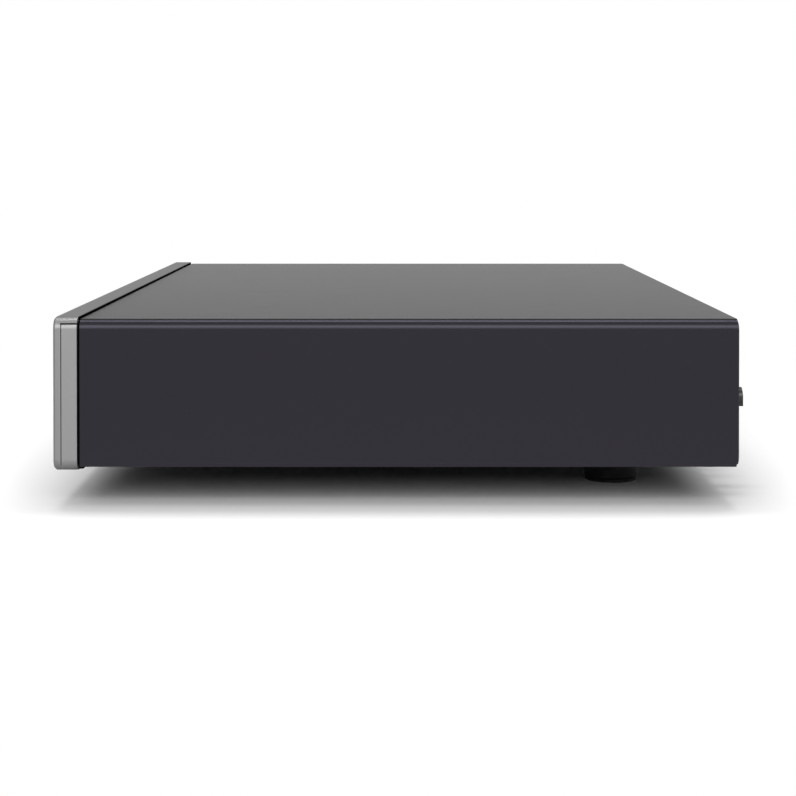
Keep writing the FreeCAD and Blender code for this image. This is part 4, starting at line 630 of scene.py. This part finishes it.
# Sleeve: heights of its foot in millimetres, of its groove as shares of the can's, of its edge from the top
SLEEVE_FOOT = [(0.0, 0.0), (0.94, 0.0), (1.0, 0.5)]
SLEEVE_GROOVE = [(1.0, 0.10), (0.93, 0.13), (1.0, 0.16)]
SLEEVE_EDGE = [(1.0, -0.6), (0.96, -0.15), (0.88, 0.0), (0.84, -0.2), (0.84, -0.5), (0.0, -0.5)]
# The metal top inside the sleeve's rolled edge, and the cross that is pressed into it as a vent
METAL_TOP = [(0.0, -0.5), (0.83, -0.5), (0.83, -0.25), (0.78, -0.15), (0.0, -0.15)]
VENT_REACH, VENT_HALF = 0.55, 0.04
VENT_FLOOR, VENT_TOP = -0.35, 0.5
sleeves = []
tops = []
for box in islands("capacitors"):
    radius = radius_of(box)
    tall = height_of(box)
    profile = [(radius * share, height) for share, height in SLEEVE_FOOT]
    profile += [(radius * share, tall * up) for share, up in SLEEVE_GROOVE]
    profile += [(radius * share, tall + height) for share, height in SLEEVE_EDGE]
    sleeves.append((foot(box), profile))
    plate = bmesh.new()
    turn(plate, ORIGIN, UPRIGHT, [(radius * share, height) for share, height in METAL_TOP])
    vent = bmesh.new()
    cross = cross_outline(VENT_REACH * radius, VENT_HALF * radius)
    extrude(vent, ORIGIN, UPRIGHT, cross, VENT_FLOOR, VENT_TOP)
    tops.append((carve(plate, vent), crown(box), UPRIGHT))
add_turned("capacitor_sleeves", sleeves, sleeve_blue, "capacitors", replaced=True)
add_mesh("capacitor_tops", gather("capacitor_tops", tops), zinc, "capacitors")


# Rubber ring that the disc lies on, round the turntable's hub

HUB_RISE = 2.0
DISC_RING = [(9.5, -0.2), (13.8, -0.2), (13.8, 0.1), (13.5, 0.3), (9.8, 0.3), (9.5, 0.1)]
platter = crown(islands("turntable")[0]) - Vector((0.0, 0.0, HUB_RISE))
add_turned("turntable_ring", [(platter, DISC_RING)], rubber, "turntable", closed=True)


# Rear connectors: each rise is the height of an opening's middle above the connector's lowest point

def opening(box, rise):
    """The middle of a connector's opening in its rear end, from which its profiles go backward."""
    return Vector((middle(box).x, box[HIGH].y, box[LOW].z + rise))


JACK_RISE = 9.0
JACK_INSULATOR = band(1.75, 3.35, -0.2, 0.10, taper=0.05)
JACK_CONTACT = [(1.20, -7.0), (1.68, -7.0), (1.68, 0.12), (1.45, 0.20), (1.20, 0.12)]
jacks = islands("phono_jacks")
for count, box in enumerate(jacks):
    place = opening(box, JACK_RISE)
    insulation = orange_plastic if box is jacks[-1] else black_plastic
    add_turned("jack_insulator_%d" % count, [(place, JACK_INSULATOR)], insulation, "phono_jacks",
               facing=BACKWARD, closed=True)
    add_turned("jack_contact_%d" % count, [(place, JACK_CONTACT)], gilt, "phono_jacks",
               facing=BACKWARD, closed=True)

REMOTE_RISE = 5.5
REMOTE_RING = band(1.85, 2.55, -0.3, 0.12, taper=0.05)
add_turned("remote_jack_ring", [(opening(islands("infrared_jack")[0], REMOTE_RISE), REMOTE_RING)], nickel,
           "infrared_jack", facing=BACKWARD, closed=True)

# Serial port: the insert fills this outline, and its sockets stand in a row of five over a row of four
SERIAL_RISE = 6.5
INSERT_OUTLINE = [(-8.0, 3.2), (-7.3, 3.9), (7.3, 3.9), (8.0, 3.2),
                  (6.9, -3.3), (6.2, -3.9), (-6.2, -3.9), (-6.9, -3.3)]
INSERT_LOW, INSERT_TOP = -0.1, 0.35
PIN_PITCH, PIN_ROW = 2.77, 1.42
PIN_HOLE = band(0.0, 0.62, 0.02, 1.0)
PIN_CONTACT = band(0.32, 0.60, -0.05, 0.20)
POST_ASIDE, POST_SUNK = 12.5, 0.5
POST_RIM = band(0.9, 1.9, -0.2, 0.15, taper=0.1)
# A flat black disc in each post's rim, which paints the shade of its threaded hole
POST_BORE_SHADE = [(0.0, -0.1), (1.05, -0.1), (1.05, 0.06), (0.0, 0.02)]
serial = islands("serial_port")[0]
serial_face = opening(serial, SERIAL_RISE)
insert = bmesh.new()
extrude(insert, serial_face, BACKWARD, [(x, -z) for x, z in INSERT_OUTLINE], INSERT_LOW, INSERT_TOP)
holes = bmesh.new()
contacts = []
for pins, level in ((5, PIN_ROW), (4, -PIN_ROW)):
    for pin in range(pins):
        place = serial_face + Vector(((pin - (pins - 1) / 2) * PIN_PITCH, 0.0, level))
        turn(holes, place, BACKWARD, PIN_HOLE, steps=FINE_ROUND)
        contacts.append((place, PIN_CONTACT))
add_mesh("serial_insert", carve(insert, holes), black_plastic, "serial_port")
add_turned("serial_contacts", contacts, gilt, "serial_port", facing=BACKWARD, closed=True, steps=FINE_ROUND)
post_places = [serial_face + Vector((side * POST_ASIDE, -POST_SUNK, 0.0)) for side in (-1, 1)]
add_turned("serial_post_rims", [(place, POST_RIM) for place in post_places], nickel, "serial_port",
           facing=BACKWARD, closed=True, steps=SMALL_ROUND)
add_turned("serial_post_bore_shades", [(place, POST_BORE_SHADE) for place in post_places], deep_black, "serial_port",
           facing=BACKWARD, steps=SMALL_ROUND)


# Printed marks

MARK_HALF, MARK_BACK, MARK_TIP = 1.4, 1.1, 1.3
INK_LOW, INK_TOP = -0.03, 0.03


def play_mark(x):
    """A triangle that points to the right."""
    return [(x - MARK_BACK, -MARK_HALF), (x + MARK_TIP, 0.0), (x - MARK_BACK, MARK_HALF)]


def bar_mark(x, half, low=-MARK_HALF, high=MARK_HALF):
    return [(x - half, low), (x + half, low), (x + half, high), (x - half, high)]


def mirrored(outline):
    return [(-x, z) for x, z in outline]


# Marks for on and off, on the two slopes that fall away from the rocker's ridge, by one in 7.6
PIVOT_DEPTH = 3.0
ROCKER_TILT = Matrix.Rotation(math.radians(-8.0), 3, "X")
RIDGE = 4.9
FALL = 1.0 / 7.6
MARK_PLACE = 4.4
ROCKER_INK_LOW, ROCKER_INK_TOP = -0.05, 0.06
ON_BAR = bar_mark(0.0, 0.28, low=-1.5, high=1.5)
OFF_RING = band(1.05, 1.50, ROCKER_INK_LOW, ROCKER_INK_TOP)
pivot = middle(islands("switch_housing")[0])
pivot.y = islands("rear_panel")[0][HIGH].y - PIVOT_DEPTH


def on_slope(side):
    """Place and facing of a mark on the rocker's upper slope, or on its lower one with side -1."""
    place = pivot + ROCKER_TILT @ Vector((0.0, RIDGE - FALL * MARK_PLACE, side * MARK_PLACE))
    return place, ROCKER_TILT @ Matrix.Rotation(side * math.atan(FALL), 3, "X") @ BACKWARD


rocker_marks = bmesh.new()
extrude(rocker_marks, *on_slope(1), ON_BAR, ROCKER_INK_LOW, ROCKER_INK_TOP)
turn(rocker_marks, *on_slope(-1), OFF_RING, closed=True)
add_form("rocker_marks", rocker_marks, white_ink, "power_rocker")

# Transport symbols on the oblong buttons, as outlines round the middle of each, and the standby sign
BUTTON_MARKS = {
    "open_button": [[(-1.6, -0.2), (1.6, -0.2), (0.0, 1.5)], bar_mark(0.0, 1.6, high=-0.8)],
    "play_button": [play_mark(0.0)],
    "stop_button": [bar_mark(0.0, 1.25, low=-1.25, high=1.25)],
    "previous_button": [mirrored(play_mark(-0.2)), bar_mark(-1.75, 0.3)],
    "next_button": [play_mark(-0.2), bar_mark(1.75, 0.3)],
}
for node, outlines in BUTTON_MARKS.items():
    mark = bmesh.new()
    for outline in outlines:
        extrude(mark, front(islands(node)[0]), FORWARD, outline, INK_LOW, INK_TOP)
    add_form(node + "_mark", mark, dark_ink, node)

STANDBY_RING = band(1.55, 2.0, INK_LOW, INK_TOP)
STANDBY_BAR = bar_mark(0.0, 0.25, low=0.9, high=2.9)
BAR_INK = 0.04
standby_face = front(islands("standby_button")[0])
mark = bmesh.new()
turn(mark, standby_face, FORWARD, STANDBY_RING, closed=True)
extrude(mark, standby_face, FORWARD, STANDBY_BAR, -BAR_INK, BAR_INK)
add_form("standby_mark", mark, dark_ink, "standby_button")


# Faceplate: standby lamp, a strip of painted shade in the slot over each end cap, and a sheet of painted shade
# behind its top strip

LAMP_ASIDE = 17.0
LAMP_DOME = [(0.0, -0.1), (1.3, -0.1), (1.25, 0.10), (0.9, 0.26), (0.0, 0.32)]
faceplate = islands("front_panel")[0]
lamp_place = Vector((standby_face.x + LAMP_ASIDE, faceplate[LOW].y, standby_face.z))
add_turned("standby_lamp", [(lamp_place, LAMP_DOME)], lamp_lens, "front_panel", facing=FORWARD)

THIN_EDGES = 0.05
# Strip of painted shade: a reflectionless black slab in the seam over each end cap, which paints the shade of
# that narrow gap
SEAM_SHADE_DEEP, SEAM_SHADE_PROUD, SEAM_SHADE_FRONT = 0.6, 0.03, 0.2
SLOT_LOW, SLOT_HIGH = -0.30, 0.12
seam_shade = bmesh.new()
for low, high in islands("end_caps"):
    outside = high.x if high.x > 0 else low.x
    inner = outside - math.copysign(SEAM_SHADE_DEEP, outside)
    outer = outside + math.copysign(SEAM_SHADE_PROUD, outside)
    slab(seam_shade, (min(inner, outer), low.y - SEAM_SHADE_FRONT, high.z + SLOT_LOW),
         (max(inner, outer), high.y, high.z + SLOT_HIGH))
add_form("end_cap_seam_shade", seam_shade, deep_black, "end_caps", edges=THIN_EDGES)

# Sheet of painted shade: a reflectionless black sheet on the back of the top strip, which paints the shade
# that falls there
BACK_SHADE_INSET, BACK_SHADE_SUNK, BACK_SHADE_THICK = 4.5, 0.05, 0.2
BACK_SHADE_LOW, BACK_SHADE_HIGH = -2.2, -0.3
low, high = faceplate
back_shade = bmesh.new()
slab(back_shade, (low.x + BACK_SHADE_INSET, high.y - BACK_SHADE_SUNK, high.z + BACK_SHADE_LOW),
     (high.x - BACK_SHADE_INSET, high.y + BACK_SHADE_THICK, high.z + BACK_SHADE_HIGH))
add_form("faceplate_back_shade", back_shade, deep_black, "front_panel", edges=THIN_EDGES)


# Parts on the circuit boards

# What stands this close to the board's top, and isn't taller than this, is a chip
ON_BOARD = 0.05
CHIP_TALL = 3.0
CASE_COVER, CASE_LIFT, CASE_EDGES = 0.05, 0.15, 0.2
LEG_PITCH, LEG_HALF, ROW_MARGIN = 1.27, 0.2, 1.0
# Shoulder, foot and shank of a leg: where each starts and ends outside the chip, its lowest and highest point
LEG_PARTS = ((-0.1, 0.5, 0.45, 0.65), (0.45, 1.1, 0.0, 0.15), (0.4, 0.6, 0.0, 0.65))
DOT_INSET, DOT_LIFT = 1.2, 0.02
DOT = band(0.0, 0.45, 0.0, 0.06)


def chip_legs(form, box):
    """Adds bent legs along the front and the back of a chip."""
    low, high = box
    count = int((high.x - low.x - ROW_MARGIN) / LEG_PITCH) + 1
    start = middle(box).x - (count - 1) * LEG_PITCH / 2
    for step in range(count):
        x = start + step * LEG_PITCH
        for edge, side in ((low.y, -1), (high.y, 1)):
            for near, far, bottom, top in LEG_PARTS:
                ends = sorted((edge + side * near, edge + side * far))
                slab(form, (x - LEG_HALF, ends[0], low.z + bottom), (x + LEG_HALF, ends[1], low.z + top))


def chip_pieces(node, board):
    """Dark cases, bent legs and a dot for the first pin, on the low solids that stand on a board."""
    cases = bmesh.new()
    legs = bmesh.new()
    dots = []
    for box in islands(node):
        low, high = box
        if low.z < board[HIGH].z - ON_BOARD or height_of(box) > CHIP_TALL:
            continue
        slab(cases, (low.x - CASE_COVER, low.y - CASE_COVER, low.z + CASE_LIFT),
             (high.x + CASE_COVER, high.y + CASE_COVER, high.z + CASE_COVER))
        chip_legs(legs, box)
        dots.append((Vector((low.x + DOT_INSET, low.y + DOT_INSET, high.z + DOT_LIFT)), DOT))
    add_form(node + "_cases", cases, chip_plastic, node, edges=CASE_EDGES)
    add_form(node + "_legs", legs, nickel, node)
    add_turned(node + "_dots", dots, ribbon_grey, node, steps=FINE_ROUND)


BOARD_MARGIN, CLEARANCE = 6.0, 3.0
SPREAD_START, SPREAD_ACROSS, SPREAD_ALONG = 0.5, 0.7549, 0.5698
TURN_CYCLE = 0.5
PART_LONG, PART_SHORT, PART_TALL = 0.85, 0.5, 0.5
END_REACH, END_HALF, END_COVER = 0.1, 0.22, 0.04


def spread_out(count):
    """Even but irregular places between nought and one, by steps of two irrational numbers."""
    return [((SPREAD_START + SPREAD_ACROSS * step) % 1.0, (SPREAD_START + SPREAD_ALONG * step) % 1.0)
            for step in range(count)]


def beside(box, x, y):
    """Whether a place is on a solid or close to it, seen from above."""
    low, high = box
    return low.x - CLEARANCE < x < high.x + CLEARANCE and low.y - CLEARANCE < y < high.y + CLEARANCE


def small_parts(node, board, taken, count):
    """Chip resistors with bright ends, strewn where nothing else stands, some of them across the others."""
    cases = bmesh.new()
    ends = bmesh.new()
    low, high = board
    for u, v in spread_out(count):
        x = low.x + BOARD_MARGIN + u * (high.x - low.x - 2 * BOARD_MARGIN)
        y = low.y + BOARD_MARGIN + v * (high.y - low.y - 2 * BOARD_MARGIN)
        if any(beside(box, x, y) for box in taken):
            continue
        sideways = (u + v) % TURN_CYCLE < TURN_CYCLE / 2
        across, along = (PART_LONG, PART_SHORT) if sideways else (PART_SHORT, PART_LONG)
        slab(cases, (x - across, y - along, high.z), (x + across, y + along, high.z + PART_TALL))
        for side in (-1, 1):
            reach = side * (PART_LONG + END_REACH)
            if sideways:
                end_x, end_y, wide, deep = x + reach, y, END_HALF, along + END_COVER
            else:
                end_x, end_y, wide, deep = x, y + reach, across + END_COVER, END_HALF
            slab(ends, (end_x - wide, end_y - deep, high.z),
                 (end_x + wide, end_y + deep, high.z + PART_TALL + END_COVER))
    add_form(node + "_small_cases", cases, chip_plastic, node)
    add_form(node + "_small_ends", ends, nickel, node)


MAIN_PARTS, SUPPLY_PARTS = 150, 40
STANDING_NODES = ("capacitors", "inner_screws", "heat_sink", "phono_jacks", "infrared_jack", "serial_port",
                  "optical_output", "mains_inlet", "switch_housing", "mains_wires")
standing = [box for node in STANDING_NODES for box in islands(node)]
main_solids = islands("main_board")
main_board = max(main_solids, key=radius_of)
on_main_board = [box for box in main_solids if box is not main_board]
supply_board = islands("power_supply_board")[0]
chip_pieces("main_board", main_board)
small_parts("main_board", main_board, standing + on_main_board, MAIN_PARTS)
small_parts("power_supply_board", supply_board, standing, SUPPLY_PARTS)

# Ribbon socket: a low body that leaves the cable free, and a cheek at each end of it
SOCKET_COVER, CABLE_ROOM = 0.1, 2.9
CHEEK_OUT, CHEEK_IN, CHEEK_FRONT, CHEEK_RISE = 0.6, 1.4, 0.4, 0.4
SOCKET_EDGES = 0.2
low, high = max(on_main_board, key=height_of)
ribbon_socket = bmesh.new()
slab(ribbon_socket, (low.x - SOCKET_COVER, low.y - SOCKET_COVER, low.z),
     (high.x + SOCKET_COVER, high.y - CABLE_ROOM, high.z + SOCKET_COVER))
for end, side in ((low.x, -1), (high.x, 1)):
    cheek = sorted((end + side * CHEEK_OUT, end - side * CHEEK_IN))
    slab(ribbon_socket, (cheek[0], low.y + CHEEK_FRONT, low.z),
         (cheek[1], high.y + SOCKET_COVER, high.z + CHEEK_RISE))
add_form("ribbon_socket", ribbon_socket, acetal, "main_board", edges=SOCKET_EDGES)

# Mains fuse in its clips, placed from the right, front and upper side of the supply board
FUSE_FROM_RIGHT, FUSE_FROM_FRONT, FUSE_RISE = 26.0, 20.2, 4.5
FUSE_HALF, CAP_LONG, GLASS_HALF = 10.0, 5.2, 5.5
FUSE_LIP = 0.2
FUSE_CAP = [(0.0, 0.0), (2.4, 0.0), (2.6, 0.3), (2.6, CAP_LONG - FUSE_LIP), (2.3, CAP_LONG), (0.0, CAP_LONG)]
FUSE_GLASS = [(0.0, -GLASS_HALF), (2.2, -GLASS_HALF), (2.25, FUSE_LIP - GLASS_HALF),
              (2.25, GLASS_HALF - FUSE_LIP), (2.2, GLASS_HALF), (0.0, GLASS_HALF)]
CLIP_ASIDE, CLIP_HALF, CLIP_EDGES = 7.4, 1.8, 0.1
CLIP_DEEP, CLIP_FLOOR = 2.9, 0.5
ARM_PLACE, ARM_HALF, ARM_FOOT, ARM_RISE = 2.8, 0.2, 0.3, 2.2
low, high = supply_board
fuse = Vector((high.x - FUSE_FROM_RIGHT, low.y + FUSE_FROM_FRONT, high.z + FUSE_RISE))
caps = [(fuse + Vector((shift, 0.0, 0.0)), FUSE_CAP) for shift in (-FUSE_HALF, FUSE_HALF - CAP_LONG)]
add_turned("fuse_caps", caps, nickel, "power_supply_board", facing=RIGHTWARD)
add_turned("fuse_glass", [(fuse, FUSE_GLASS)], display_glass, "power_supply_board", facing=RIGHTWARD)
clips = bmesh.new()
for x in (fuse.x - CLIP_ASIDE, fuse.x + CLIP_ASIDE):
    slab(clips, (x - CLIP_HALF, fuse.y - CLIP_DEEP, high.z),
         (x + CLIP_HALF, fuse.y + CLIP_DEEP, high.z + CLIP_FLOOR))
    for y in (fuse.y - ARM_PLACE, fuse.y + ARM_PLACE):
        slab(clips, (x - CLIP_HALF, y - ARM_HALF, high.z + ARM_FOOT),
             (x + CLIP_HALF, y + ARM_HALF, fuse.z + ARM_RISE))
add_form("fuse_clips", clips, nickel, "power_supply_board", edges=CLIP_EDGES)


# Edges of the solids, apart from teeth, belt and wires, and the bent sheets, which are round already

KEPT_AS_CUT = ("tray_drive_gear", "pulley_gear", "sled_gear", "sled_pinion", "loading_belt", "mains_wires",
               "top_cover", "chassis_base")
for node, piece in frame["nodes"].items():
    if not piece.hide_render and node not in KEPT_AS_CUT:
        soften_edges(piece)


# Floor and room

WHITE = (1.0, 1.0, 1.0, 1.0)
FLOOR_HALF = 6.0
FLOOR_GREY = (0.80, 0.80, 0.80, 1.0)
# Distance from the middle of the player over which the floor turns plain white
FADE_FROM, FADE_TO = 0.30, 0.55
# Brightness of the room at the horizon and overhead, and the slopes of the ray between which it rises
ROOM_LOW, ROOM_HIGH = 0.08, 0.90
ROOM_FROM, ROOM_TO = 0.45, 0.85


def larger(nodes, links, first, second):
    """The larger of two values."""
    node = nodes.new("ShaderNodeMath")
    node.operation = "MAXIMUM"
    links.new(first, node.inputs[0])
    links.new(second, node.inputs[1])
    return node.outputs[0]


def seen_ray(nodes, links):
    """One for rays that show the background: the camera's, and those in metal and glass."""
    path = nodes.new("ShaderNodeLightPath")
    direct = larger(nodes, links, path.outputs["Is Camera Ray"], path.outputs["Is Glossy Ray"])
    return larger(nodes, links, direct, path.outputs["Is Transmission Ray"])


def blend(nodes, links, share, first, second):
    """The first shader, giving way to the second as the share rises to one."""
    node = nodes.new("ShaderNodeMixShader")
    links.new(share, node.inputs["Fac"])
    links.new(first, node.inputs[1])
    links.new(second, node.inputs[2])
    return node.outputs["Shader"]


def rising(nodes, links, value, start, end, low=0.0, high=1.0):
    """A smooth rise from low to high, while a value goes from its start to its end."""
    node = nodes.new("ShaderNodeMapRange")
    node.interpolation_type = "SMOOTHSTEP"
    node.inputs["From Min"].default_value = start
    node.inputs["From Max"].default_value = end
    node.inputs["To Min"].default_value = low
    node.inputs["To Max"].default_value = high
    links.new(value, node.inputs["Value"])
    return node.outputs["Result"]


def matt(nodes, color):
    shader = nodes.new("ShaderNodeBsdfDiffuse")
    shader.inputs["Color"].default_value = color
    return shader.outputs["BSDF"]


def make_floor():
    """A wide floor that lights the player as a pale grey one, and looks white but for the player's shadow."""
    mesh = bpy.data.meshes.new("floor")
    corners = [(-FLOOR_HALF, -FLOOR_HALF, 0), (FLOOR_HALF, -FLOOR_HALF, 0), (FLOOR_HALF, FLOOR_HALF, 0),
               (-FLOOR_HALF, FLOOR_HALF, 0)]
    mesh.from_pydata(corners, [], [(0, 1, 2, 3)])
    floor = bpy.data.objects.new("floor", mesh)
    bpy.context.scene.collection.objects.link(floor)
    made = bpy.data.materials.new("floor")
    made.use_nodes = True
    nodes, links = made.node_tree.nodes, made.node_tree.links
    nodes.clear()
    white = nodes.new("ShaderNodeEmission")
    place = nodes.new("ShaderNodeTexCoord")
    away = nodes.new("ShaderNodeVectorMath")
    away.operation = "LENGTH"
    links.new(place.outputs["Object"], away.inputs[0])
    fade = rising(nodes, links, away.outputs["Value"], FADE_FROM, FADE_TO)
    shown = blend(nodes, links, fade, matt(nodes, WHITE), white.outputs["Emission"])
    surface = blend(nodes, links, seen_ray(nodes, links), matt(nodes, FLOOR_GREY), shown)
    out = nodes.new("ShaderNodeOutputMaterial")
    links.new(surface, out.inputs["Surface"])
    mesh.materials.append(made)


def make_room():
    """A world that is white where it's seen, and lights the player mostly from above."""
    world = bpy.data.worlds.new("studio")
    bpy.context.scene.world = world
    world.use_nodes = True
    nodes, links = world.node_tree.nodes, world.node_tree.links
    nodes.clear()
    way = nodes.new("ShaderNodeTexCoord")
    parts = nodes.new("ShaderNodeSeparateXYZ")
    links.new(way.outputs["Generated"], parts.inputs[0])
    strength = rising(nodes, links, parts.outputs["Z"], ROOM_FROM, ROOM_TO, low=ROOM_LOW, high=ROOM_HIGH)
    room = nodes.new("ShaderNodeBackground")
    room.inputs["Color"].default_value = WHITE
    links.new(strength, room.inputs["Strength"])
    white = nodes.new("ShaderNodeBackground")
    white.inputs["Color"].default_value = WHITE
    white.inputs["Strength"].default_value = 1.0
    surface = blend(
        nodes, links, seen_ray(nodes, links), room.outputs["Background"], white.outputs["Background"])
    out = nodes.new("ShaderNodeOutputWorld")
    links.new(surface, out.inputs["Surface"])


# Lamps, each with its place, the point it faces, its width and depth, and the brightness of its face

LAMPS = {
    "overhead": ((-0.05, 0.0, 1.30), (0.0, 0.0, 0.0), (0.90, 0.32), 7.5),
    "side": ((1.98, 0.0, 0.94), (0.2, 0.0, 0.0), (2.6, 1.07), 3.5),
}


def softbox(name, place, target, size, radiance):
    """A rectangular lamp that gives an even brightness over its face."""
    data = bpy.data.lights.new(name, "AREA")
    data.shape = "RECTANGLE"
    data.size, data.size_y = size
    data.energy = radiance * math.pi * size[0] * size[1]
    lamp = bpy.data.objects.new(name, data)
    bpy.context.scene.collection.objects.link(lamp)
    lamp.location = place
    lamp.rotation_euler = (Vector(target) - Vector(place)).to_track_quat("-Z", "Y").to_euler()
    lamp.visible_camera = False


# Camera at the photo's angle, which looks at the player's right side from a little above

CAMERA_PLACE = (1.008, -0.0027, 0.1556)
CAMERA_DIP = 0.78
CAMERA_TURN = 90.0
CAMERA_LENS = 80.69
CAMERA_SENSOR = 36.0
CAMERA_SHIFT = (-0.0074, -0.27)


def make_camera():
    """The camera of the photo's view."""
    data = bpy.data.cameras.new("camera")
    data.sensor_width = CAMERA_SENSOR
    data.lens = CAMERA_LENS
    data.shift_x, data.shift_y = CAMERA_SHIFT
    camera = bpy.data.objects.new("camera", data)
    bpy.context.scene.collection.objects.link(camera)
    camera.location = CAMERA_PLACE
    camera.rotation_euler = (math.radians(90.0 - CAMERA_DIP), 0.0, math.radians(CAMERA_TURN))
    bpy.context.scene.camera = camera


make_floor()
make_room()
for name, settings in LAMPS.items():
    softbox(name, *settings)
make_camera()
bpy.context.scene.view_settings.view_transform = "Standard"
